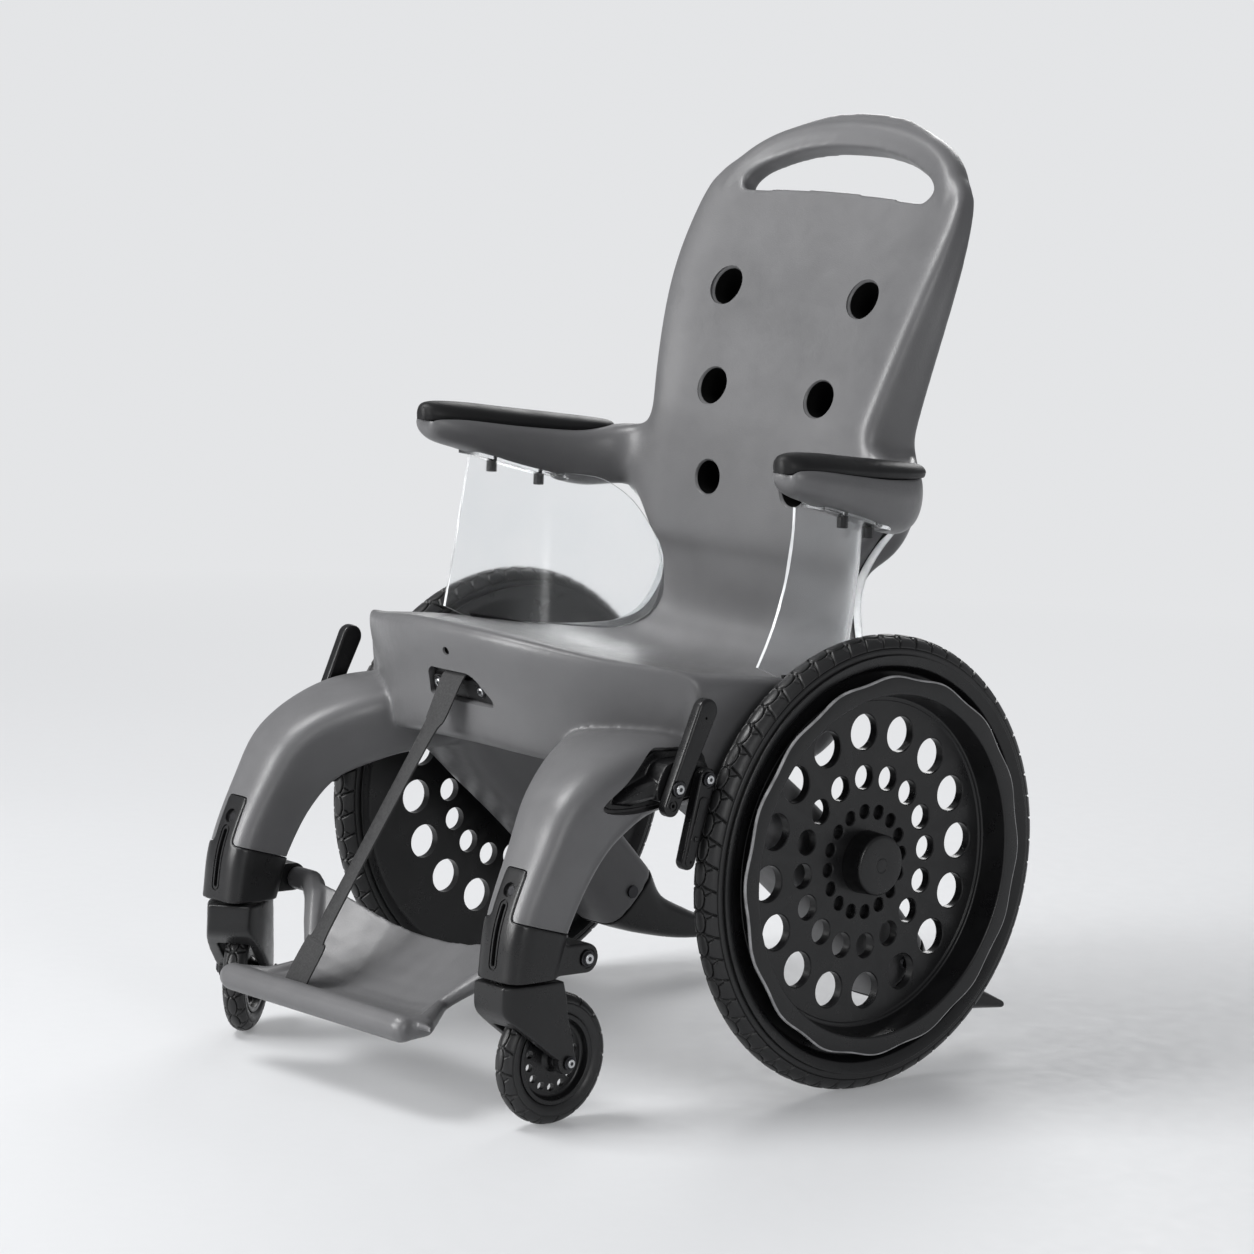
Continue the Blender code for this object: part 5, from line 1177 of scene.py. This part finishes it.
def make_rear_wheels():
    for name, side in SIDES:
        wheel = new_object("rear_disc_" + name, revolve(filleted(DISC_PROFILE, 3), 256, handrim_waves))
        for ring_share, radius_share in HOLE_RINGS:
            ring, radius = ring_share * DISH_RADIUS, radius_share * DISH_RADIUS
            deep = DISC_BACK - 0.01 if radius > 0.010 else DISC_BACK + 0.003
            rows = ring_of_holes(ring, radius, HOLES_PER_RING, deep, 0.01, side * HOLE_PHASE)
            combine(wheel, cylinders(rows, 40))
            combine(wheel, cylinders([((x, y, DISC_FACE - 0.0012), (x, y, DISC_FACE + 0.0010), radius,
                                       radius + 0.0018) for (x, y, _), _, _, _ in rows], 40))
        # faces round the hand-rim's wavy outer edge, which take a pale painted highlight
        rim = np.array([(math.hypot(*face.center[:2]), face.center[2]) for face in wheel.data.polygons])
        bright = (rim[:, 0] > HANDRIM_OUTER - HANDRIM_WAVE - 0.0026) & (rim[:, 1] > HANDRIM_REACH - 0.0026)
        bright &= (rim[:, 1] < HANDRIM_REACH - 0.00004) & (rim[:, 0] < HANDRIM_OUTER + 0.0005)
        tyre = new_object("tread_" + name, tyre_mesh(WHEEL_RADIUS, TYRE_SECTION, RIM_EDGE, *REAR_TREAD))
        cap = new_object("cap_" + name, revolve(filleted(CAP_PROFILE, 4), 96))
        for obj, look, node, angle in ((wheel, DISC, "rear_wheel_", 35), (tyre, TYRE, "rear_tyre_", 60),
                                       (cap, DISC, "hub_cap_", 40)):
            on_axle(obj.data, side, side * WHEEL_TRACK_HALF, CHAIR_Y, WHEEL_RADIUS)
            show(obj, "rear_wheel_%s_set" % name, look, node + name, angle=angle)
        wheel.data.materials.append(RIM_PAINTED_HIGHLIGHT)
        wheel.data.polygons.foreach_set("material_index", bright.astype(np.int32))


def caster_frame(side):
    """Place of a caster's swivel: its own Y trails, and the right one is turned."""
    turn = 0.0 if side > 0 else CASTER_TURN_RIGHT
    place = Matrix.Translation((side * CASTER_X, CASTER_SWIVEL_Y + CHAIR_Y, 0.0))
    return place @ Matrix.Rotation(turn, 4, "Z")


def make_casters():
    loop = list(CASTER_HALF) + [(radius, -height) for radius, height in reversed(CASTER_HALF)]
    for name, side in SIDES:
        wheel = new_object("caster_disc_" + name, revolve(filleted(loop, 3, 0.0012), 96))
        combine(wheel, cylinders(ring_of_holes(CASTER_HOLE_RING, CASTER_HOLE_RADIUS, CASTER_HOLES,
                                               -0.02, 0.02), 32))
        tyre = new_object("caster_tread_" + name, tyre_mesh(CASTER_RADIUS, CASTER_SECTION, 0.0512,
                                                            *CASTER_TREAD))
        for obj, look, node in ((wheel, DISC, "caster_wheel_"), (tyre, TYRE, "caster_tyre_")):
            on_axle(obj.data, side, 0.0, CASTER_TRAIL, CASTER_RADIUS)
            obj.data.transform(caster_frame(side))
            show(obj, "caster_%s_wheel_set" % name, look, node + name, angle=50)


make_rear_wheels()
make_casters()


# the other pieces


def finish_node(node, material):
    mesh = NODES[node].data
    mesh.materials.clear()
    mesh.materials.append(material)


def front_of_sleeve(middle, aside, height, out):
    """A place on the front of a leg sleeve, at a height and a distance out of its face."""
    rows = resample(ARCH[:4], 12)
    turns = [math.radians(row[2]) for row in rows]
    ys = [row[0] - math.sin(turn) * (row[3] + SLEEVE_SKIN) for row, turn in zip(rows, turns)]
    zs = [row[1] + math.cos(turn) * (row[3] + SLEEVE_SKIN) for row, turn in zip(rows, turns)]
    y, turn = np.interp(height, zs, ys), np.interp(height, zs, turns)
    return middle + aside, y - math.sin(turn) * out, height + math.cos(turn) * out


def long_slot(middle, half, low, high, bottom, top):
    """A long form with round ends that follows the sleeve's front, for a slot or its rim."""
    rings = []
    for step in range(33):
        share = 0.5 - 0.5 * math.cos(PI * step / 32)
        height = low + (high - low) * share
        reach = min(1.0, (height - low + 0.0002) / half, (high - height + 0.0002) / half)
        width = max(0.0004, half * math.sqrt(max(0.0, 1 - (1 - reach) ** 2)))
        rings.append([front_of_sleeve(middle, aside, height, out)
                      for aside, out in ((-width, bottom), (width, bottom), (width, top), (-width, top))])
    return loft_mesh(rings)


def make_sleeves():
    """Leg sleeves with their tab, footplate lug and the ringed slot up the front."""
    for name, side in SIDES:
        middle = side * (ARCH[1][4] + ARCH[1][5]) / 2
        rings = [section_ring(row, side, -SLEEVE_SKIN) for row in resample(ARCH[:4], 10)]
        sleeve = new_object("sleeve_" + name, loft_mesh(rings))
        combine(sleeve, sleeve_space(side, 0.0), "INTERSECT")
        lug = prism_mesh(stadium(LUG_ROOT, (HINGE_Y, HINGE_Z), LUG_RADIUS, LUG_RADIUS, 24),
                         side * LUG_INNER_X, side * LUG_OUTER_X)
        combine(sleeve, lug, "UNION")
        soften(sleeve, 0.0013, 12)
        for *sizes, operation in SLEEVE_SLOTS:
            combine(sleeve, long_slot(middle, *sizes), operation)
        start = Vector((middle, *SCREW_POINT))
        outwards = Vector((0.0, *SCREW_NORMAL))
        combine(sleeve, turned(start - outwards * 0.0015, outwards,
                               ((0.0, 0.0078), (0.0008, 0.0082), (0.012, 0.0086)), 40))
        for face, out in ((side * LUG_OUTER_X, side), (side * LUG_INNER_X, -side)):
            combine(sleeve, turned((face - out * 0.0014, HINGE_Y, HINGE_Z), (out, 0, 0),
                                   ((0.0, 0.0112), (0.010, 0.0122)), 40))
        show(in_chair(sleeve), "chair", SLEEVE, "leg_socket_" + name, angle=38)


def make_forks():
    """Caster forks: smooth cheeks that taper from the swivel to a round boss at the axle."""
    eye = (CASTER_TRAIL, CASTER_RADIUS)
    tips = [(eye[0] + FORK_EYE * math.cos(angle), eye[1] + FORK_EYE * math.sin(angle))
            for angle in np.linspace(math.radians(12), math.radians(-205), 30)]
    rear = [(0.0430, FORK_TOP)] + [(y, CASTER_RADIUS + height) for y, height in FORK_REAR] + [tips[0]]
    front = [tips[-1]] + [(y, CASTER_RADIUS + height) for y, height in FORK_FRONT] + [(-0.0370, FORK_TOP)]
    outline = [tuple(point) for point in resample(rear, 6)[:-1]] + tips[:-1]
    outline += [tuple(point) for point in resample(front, 6)]
    plan = [(FORK_HALF_WIDTH * rounded(math.cos(angle), 3.0),
             FORK_PLAN_MIDDLE + FORK_PLAN_HALF * rounded(math.sin(angle), FORK_SQUARENESS))
            for angle in 2 * PI * (np.arange(64) + 0.5) / 64]
    for name, side in SIDES:
        fork = new_object("fork_" + name, prism_mesh(outline, -0.05, 0.05))
        combine(fork, loft_mesh([[(x, y, height) for x, y in plan] for height in (0.0, 0.3)]),
                "INTERSECT")
        combine(fork, cross_bar(1.0, -FORK_SLOT_HALF, FORK_SLOT_HALF, eye,
                                CASTER_RADIUS + FORK_WHEEL_CLEAR, 96))
        soften(fork, 0.0013, 18)
        for way in (-1.0, 1.0):
            combine(fork, turned((way * (FORK_HALF_WIDTH - 0.0016), *eye), (way, 0, 0),
                                 ((0.0, 0.0088), (0.0010, 0.0092), (0.02, 0.0096)), 40))
        fork.data.transform(caster_frame(side))
        show(fork, "caster_%s_swivel" % name, SLEEVE, "caster_fork_" + name, angle=38)


def make_rear_feet():
    """Dark feet behind the rear wheels, with a thicker collar where they meet the leg."""
    for name, side in SIDES:
        rows = resample(REAR_FOOT, 8)
        heading = math.radians(rows[0][2])
        rows[0] = rows[0].copy()
        rows[0][0] += math.cos(heading) * GAP
        rows[0][1] += math.sin(heading) * GAP
        foot = new_object("dark_foot_" + name, loft_mesh([section_ring(row, side) for row in rows]))
        soften(foot, 0.0014, 5)
        show(in_chair(foot), "chair", SLEEVE, "rear_foot_" + name, angle=38)


# a button head's outline, as shares of its height and radius, and its six-sided socket
HEAD_ROWS = ((0.0, 1.0), (0.35, 1.0), (0.55, 0.94), (0.55, 0.70), (0.50, 0.66), (0.85, 0.62), (1.0, 0.54))
SOCKET_BOTTOM = 0.35
SOCKET_RADIUS = 0.30


def button_head(name, body, start, direction, radius, height):
    """A recessed socket head over a bolt: dark washer ring, bright button, six-sided socket."""
    rows = [(along * height, share * radius) for along, share in HEAD_ROWS]
    head = new_object("bolt_" + name, turned(start, direction, rows, 48))
    start, direction = Vector(start), Vector(direction).normalized()
    combine(head, turned(start + direction * SOCKET_BOTTOM * height, direction,
                         ((0.0, SOCKET_RADIUS * radius), (0.02, SOCKET_RADIUS * radius)), 6))
    mesh = head.data
    show(head, body, DARK_STEEL, angle=30)
    mesh.materials.append(STEEL)
    for face in mesh.polygons:
        away = face.center - start
        along = away.dot(direction)
        if (away - direction * along).length < 0.645 * radius and along > 0.45 * height:
            face.material_index = 1


def make_bolts():
    """Heads over the ends of the solids' pins and screws."""
    shift = Vector((0.0, CHAIR_Y, 0.0))
    for name, side in SIDES:
        out = (side, 0.0, 0.0)
        lever_face = side * (BRAKE_INNER_X + BRAKE_ARM_THICKNESS + GAP)
        spots = [("lever_" + name, (lever_face, *LEVER_PIVOT), out, 0.0088, 0.0036),
                 ("shoe_" + name, (lever_face, *SHOE_PIVOT), out, 0.0080, 0.0036),
                 ("lug_" + name, (side * (LUG_OUTER_X + GAP), HINGE_Y, HINGE_Z), out, 0.0094, 0.0044)]
        for key, place, direction, radius, height in spots:
            button_head(key, "chair", Vector(place) + shift, direction, radius, height)
        eye = Vector((0.0, CASTER_TRAIL, CASTER_RADIUS))
        for way in (-1.0, 1.0):
            frame_place = caster_frame(side)
            start = frame_place @ (eye + Vector((way * (FORK_HALF_WIDTH + GAP), 0.0, 0.0)))
            direction = frame_place.to_3x3() @ Vector((way, 0.0, 0.0))
            button_head("fork_%s_%s" % (name, "outer" if way * side > 0 else "inner"),
                        "caster_%s_swivel" % name, start, direction, 0.0079, 0.0034)


def make_plain_pieces():
    """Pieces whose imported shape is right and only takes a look, and the softened footplate."""
    for name, _ in SIDES:
        for node in ("socket_screw_", "footplate_bolt_", "rear_foot_bolt_", "strap_bolt_", "rear_axle_",
                     "brake_lever_pivot_", "brake_shoe_pivot_", "caster_stem_", "caster_axle_"):
            finish_node(node + name, DARK_STEEL)
        finish_node("panel_gasket_" + name, RUBBER)
        for place in ("front", "rear"):
            finish_node("panel_knob_%s_%s" % (place, name), SLEEVE)
    footplate = soften(new_object("moulded_footplate", NODES["footplate"].data.copy()), 0.0018, 14)
    show(footplate, "footplate", GREY, "footplate", angle=0)


def make_strap_bracket():
    """The black plate that closes the recess, with room above for the strap, and its two bolts; its thin back
    lines the whole recess, a black sheet that paints the shade in the room above the raised front.
    """
    def front(up):
        return 0.0070 - 0.0030 * min(1.0, max(0.0, (up + 0.011) / 0.026))

    # thin back over the whole recess: black painted shade behind the gap above the raised front
    plate = new_object("strap_plate", bracket_prism(filleted(growth(RECESS, -0.0008), 6, 0.0045),
                                                    -0.0020, -0.0006))
    outline = filleted(PLATE_FRONT, 6, 0.0040)
    combine(plate, loft_mesh([[bracket_point(x, up, -0.0012) for x, up in outline],
                              [bracket_point(x, up, front(up) - 0.0006) for x, up in outline],
                              [bracket_point(0.992 * x, 0.97 * up, front(up)) for x, up in outline]]),
            "UNION")
    show(in_chair(plate), "chair", SLEEVE, "strap_bracket", angle=35)
    out = bracket_point(0.0, 0.0, 1.0) - bracket_point(0.0, 0.0, 0.0)
    for name, x, up in (("left", 0.0390, 0.0030), ("right", -0.0345, 0.0040)):
        place = bracket_point(x, up, front(up)) + Vector((0.0, CHAIR_Y, 0.0))
        button_head("strap_" + name, "chair", place, out, 0.0078, 0.0028)


def make_panels():
    """Clear side panels with whitish borders, partly frosted cut edge and partly painted highlight, their
    flange and the seats of the knobs.
    """
    for name, side in SIDES:
        mesh = panel_loft(side, 0.0)
        # border faces: whitish, a frosted cut edge with a painted highlight
        for number, face in enumerate(mesh.polygons):
            if number < 2 or (number - 2) % PANEL_LEVELS == PANEL_LEVELS - 1:
                face.material_index = 1
        panel = new_object("clear_side_" + name, mesh)
        for look in (CLEAR, EDGE):
            panel.data.materials.append(look)
        combine(panel, flange_loft(side, 0.0), "UNION")
        for x, y in KNOBS:
            top = float(np.interp(y, [row[0] for row in FLANGE], [row[3] for row in FLANGE]))
            for high, radius in ((top + 0.02, 0.0028), (top - 0.0042, 0.0080)):
                combine(panel, cylinders([((side * x, y, top - 0.03), (side * x, y, high),
                                           radius, radius)], 24))
        slots = [face.material_index for face in panel.data.polygons]
        show(in_chair(panel), "chair", CLEAR, "side_panel_" + name, angle=35)
        panel.data.materials.append(EDGE)
        panel.data.polygons.foreach_set("material_index", [min(1, slot) for slot in slots])


# the lip's section: how far out, which the ends taper, and across
LIP_SECTION = ((0.0010, -0.0012), (0.0125, -0.0012), (0.0135, 0.0), (0.0125, 0.0012), (0.0010, 0.0012))


def make_panel_trim():
    """A black seal and a pale lip where each clear panel meets the edge of the back; the lip's pale colour is
    a painted highlight of that lit edge face.
    """
    for name, side in SIDES:
        x, y, _, _, bottom = ARM[0]
        points = [(side * x, y + 0.004, bottom + 0.004)]
        for number in (8, 7, 6, 5, 4):
            inner, outer = skin_points(number, int(side * 3))
            points.append(0.62 * inner + 0.38 * outer + np.array([side * EDGE_BULGE, 0.0, 0.0]))
        line = [Vector(point) for point in resample(points, 10)]
        seal = new_object("panel_seal_" + name, tube_mesh(line, [0.0022] * len(line), 14))
        show(in_chair(seal), "chair", RUBBER, angle=60)
        rings = []
        for number, spot in enumerate(line):
            before, after = neighbours(line, number)
            heading = (after - before).normalized()
            out = Vector((side, 0.0, 0.0))
            out = (out - heading * out.dot(heading)).normalized()
            aside = heading.cross(out)
            share = math.sin(PI * (number + 0.5) / len(line)) ** 0.5
            rings.append([spot + out * reach * share + aside * rise for reach, rise in LIP_SECTION])
        # the pale lip paints the highlight on the back's lit edge face
        lip = new_object("panel_lip_highlight_" + name, loft_mesh(rings))
        show(in_chair(lip), "chair", EDGE, angle=30)


def make_pads():
    """Soft armrest pads: crowned, with rounded ends, drawn in where they meet the arm."""
    for name, side in SIDES:
        pad = new_object("pad_" + name, pad_loft(side, 0.0))
        show(in_chair(pad), "chair", SOFT_BLACK, "armrest_pad_" + name, angle=60)


def hull_mesh(points):
    shape = bmesh.new()
    for point in points:
        shape.verts.new(point)
    bmesh.ops.convex_hull(shape, input=shape.verts)
    bmesh.ops.recalc_face_normals(shape, faces=shape.faces)
    return mesh_from(shape)


def mixed(one, two, share):
    """A (y, z) point between two, with the first one's share."""
    return np.array(one) * share + np.array(two) * (1 - share)


# a brake's arms: pivot, start and end, and their half widths there
BRAKE_ARMS = (("lever", LEVER_PIVOT, LEVER_TAIL, LEVER_TOP, 0.0105, 0.0140),
              ("shoe", SHOE_PIVOT, SHOE_PIVOT, SHOE_END, 0.0121, 0.0096))
# places on the brake's bracket, ahead of the rear wheel and above its axle
WEDGE_FOOT = ((0.100, 0.093), (0.094, 0.104), (0.034, 0.128), (0.030, 0.098), (0.070, 0.088))
BRAKE_STAND = ((0.050, 0.096), (0.000, 0.098), (-0.020, 0.108), (-0.019, 0.132), (0.012, 0.138),
               (0.042, 0.132))


def make_brakes():
    """Lever and shoe of each brake with their seats for pins, and the bracket that holds them."""
    outer = BRAKE_INNER_X + BRAKE_ARM_THICKNESS
    for name, side in SIDES:
        for kind, pivot, start, end, half, end_half in BRAKE_ARMS:
            outline = stadium(start, end, half, end_half, 24)
            arm = new_object("brake_arm_%s_%s" % (kind, name),
                             prism_mesh(outline, side * BRAKE_INNER_X, side * outer))
            bevel_edges(arm, 0.0034, 5)
            combine(arm, cross_bar(side, outer - 0.0010, outer + 0.01, pivot, 0.0104, 48, 0.0108))
            combine(arm, cross_bar(side, 0.25, outer - 0.002, pivot, 0.0038, 24))
            if kind == "lever":
                top = mixed(end, start, 0.93)
                y, z = mixed(start, end, 0.96) - 0.002
                combine(arm, cross_bar(side, outer - 0.003, outer + 0.01, top, 0.0016, 20))
                groove = revolve(((0.0062, -0.0010), (0.0062, 0.01), (0.0044, 0.01), (0.0044, -0.0010)), 40)
                combine(arm, on_axle(groove, side, side * outer, y, z))
                combine(arm, cross_bar(side, outer - 0.004, outer + 0.01, (y, z), 0.0022, 20))
            else:
                outline = stadium(mixed(pivot, end, 0.72), end, 0.0064, 0.0064, 20)
                plate = new_object("plate", prism_mesh(outline, side * (outer - 0.002),
                                                       side * (outer + 0.0016)))
                bevel_edges(plate, 0.0008, 3)
                combine(arm, plate.data.copy(), "UNION")
                drop(plate)
                combine(arm, turned((side * (outer + 0.0004), *end), (side, 0, 0),
                                    ((0.0, 0.0016), (0.004, 0.0016)), 20))
                combine(arm, turned((side * (outer + 0.0010), *mixed(pivot, end, 0.28)), (side, 0, 0),
                                    ((0.0, 0.0030), (0.0018, 0.0030), (0.0026, 0.0020)), 24), "UNION")
            show(in_chair(arm), "brake_%s_%s_arm" % (kind, name), BRAKE, "brake_%s_%s" % (kind, name),
                 angle=35)
        make_brake_bracket(name, side)


def make_brake_bracket(name, side):
    """A plate in the leg's recess with a wedge running up to the block that holds the pivots."""
    inner, face = BRAKE_BLOCK_INNER_X, BRAKE_INNER_X - GAP
    plate = new_object("bracket_" + name, prism_mesh(closed_curve(BRAKE_BLOCK, 6), side * inner,
                                                     side * (inner + 0.0085)))
    wedge = [(inner + 0.002, *by_wheel(*spot)) for spot in WEDGE_FOOT]
    wedge += [(inner + 0.020, *by_wheel(0.094, 0.0955)), (face, *by_wheel(0.040, 0.121)),
              (face, *by_wheel(0.036, 0.104)), (inner + 0.016, *by_wheel(0.070, 0.091))]
    combine(plate, hull_mesh([(side * x, y, z) for x, y, z in wedge]), "UNION")
    block = [by_wheel(*spot) for spot in BRAKE_STAND]
    combine(plate, prism_mesh(closed_curve(block, 5), side * (inner + 0.002), side * face), "UNION")
    soften(plate, 0.0010, 5)
    show(in_chair(plate), "chair", BRAKE, "brake_bracket_" + name, angle=38)


STRAP_COLUMNS = 13
STRAP_WIDTH = 0.038
STRAP_CURL = 0.0026
STRAP_THICKNESS = 0.0018


def make_strap():
    """Webbing that narrows where it is folded over and sewn, and widens again at the bar."""
    rows = resample(STRAP, 14)
    points, along = [], []
    travelled = 0.0
    for number, (x, y, z, width) in enumerate(rows):
        before, after = (Vector(row[:3]) for row in neighbours(rows, number))
        direction = (after - before).normalized()
        if number:
            travelled += (Vector(rows[number][:3]) - before).length
        flat = Vector((1.0, 0.0, 0.0))
        flat = (flat - direction * flat.dot(direction)).normalized()
        normal = flat.cross(direction)
        curl = STRAP_CURL * (STRAP_WIDTH - width) / 0.016
        for column in range(STRAP_COLUMNS):
            share = 2 * column / (STRAP_COLUMNS - 1) - 1
            bow = curl * (1 - share ** 2) - 0.5 * curl
            points.append(Vector((x, y, z)) + flat * share * width / 2 + normal * bow)
            along.append((share * width / 2, travelled, 0.0))
    faces = [(spot, spot + 1, spot + 1 + STRAP_COLUMNS, spot + STRAP_COLUMNS)
             for start in range(0, len(points) - STRAP_COLUMNS, STRAP_COLUMNS)
             for spot in range(start, start + STRAP_COLUMNS - 1)]
    mesh = mesh_of(points, faces)
    attribute = mesh.attributes.new("along_strap", "FLOAT_VECTOR", "POINT")
    attribute.data.foreach_set("vector", np.array(along, dtype=np.float32).ravel())
    strap = new_object("webbing_strap", mesh)
    thick = strap.modifiers.new("thick", "SOLIDIFY")
    thick.thickness = STRAP_THICKNESS
    thick.offset = 0.0
    settle(strap)
    smooth_shaded(in_chair(strap), WEBBING, 40.0)
    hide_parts("footplate_strap")
    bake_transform(strap)


make_plain_pieces()
make_strap_bracket()
make_sleeves()
make_forks()
make_rear_feet()
make_bolts()
make_panels()
make_panel_trim()
make_pads()
make_brakes()
make_strap()


# floor, lights and camera


# name, place, what it points at, size, power
LIGHTS = (
    ("key", (-1.6, -4.8, 2.1), (0.0, 0.0, 0.5), (2.4, 2.4), 262.0),
    ("top", (-1.2, -2.0, 4.2), (0.0, -0.3, 0.3), (2.2, 1.4), 150.0),
    ("right_fill", (4.6, -1.6, 1.9), (0.0, 0.0, 0.5), (1.2, 2.4), 55.0),
    ("back_rim", (-2.4, 3.4, 2.6), (0.0, 0.0, 0.5), (2.0, 2.0), 70.0),
)
# the photograph's camera, fitted to the wheels
CAMERA_LENS = 127.75
CAMERA_PLACE = (3.7873, -3.5234 + CHAIR_Y, 1.2138)
CAMERA_AHEAD = (-0.7337, 0.6649, -0.1397)
CAMERA_RIGHT = (0.667, 0.7441, 0.0386)
FLOOR_HALF = 14


def make_stage():
    """A pale floor that turns into an even backdrop away from the chair, and the same pale world."""
    floor = new_object("floor", mesh_of([(x * FLOOR_HALF, y * FLOOR_HALF, 0)
                                         for x, y in ((-1, -1), (1, -1), (1, 1), (-1, 1))], [(0, 1, 2, 3)]))
    floor.data.materials.append(floor_look())
    world = bpy.data.worlds.new("studio")
    bpy.context.scene.world = world
    world.use_nodes = True
    tree = world.node_tree
    light = feed(tree, tree.nodes["Background"], {"Color": (0.86, 0.87, 0.90, 1.0), "Strength": 0.34})
    backdrop = add_node(tree, "Background", {"Color": (*BACKDROP, 1.0), "Strength": 1.0})
    path = add_node(tree, "LightPath", {})
    seen = add_node(tree, "Math", {0: path.outputs["Is Camera Ray"],
                                   1: path.outputs["Is Transmission Ray"]}, "MAXIMUM")
    mix = add_node(tree, "MixShader", {"Fac": seen.outputs["Value"], 1: light.outputs["Background"],
                                       2: backdrop.outputs["Background"]})
    feed(tree, tree.nodes["World Output"], {"Surface": mix.outputs["Shader"]})


def make_lights():
    for name, place, target, size, power in LIGHTS:
        light = bpy.data.lights.new(name, "AREA")
        light.shape = "RECTANGLE"
        light.size, light.size_y = size
        light.energy = power
        obj = new_object(name, light)
        obj.location = place
        obj.rotation_euler = (Vector(target) - Vector(place)).to_track_quat("-Z", "Y").to_euler()


def make_camera():
    camera = bpy.data.cameras.new("camera")
    camera.lens = CAMERA_LENS
    camera.sensor_width = 36.0
    camera.clip_end = 100.0
    obj = new_object("camera", camera)
    ahead = Vector(CAMERA_AHEAD).normalized()
    up = Vector(CAMERA_RIGHT).normalized().cross(ahead).normalized()
    turn = Matrix((ahead.cross(up), up, -ahead)).transposed().to_4x4()
    obj.matrix_world = Matrix.Translation(CAMERA_PLACE) @ turn
    bpy.context.scene.camera = obj


make_stage()
make_lights()
make_camera()
bpy.context.scene.view_settings.view_transform = "Standard"
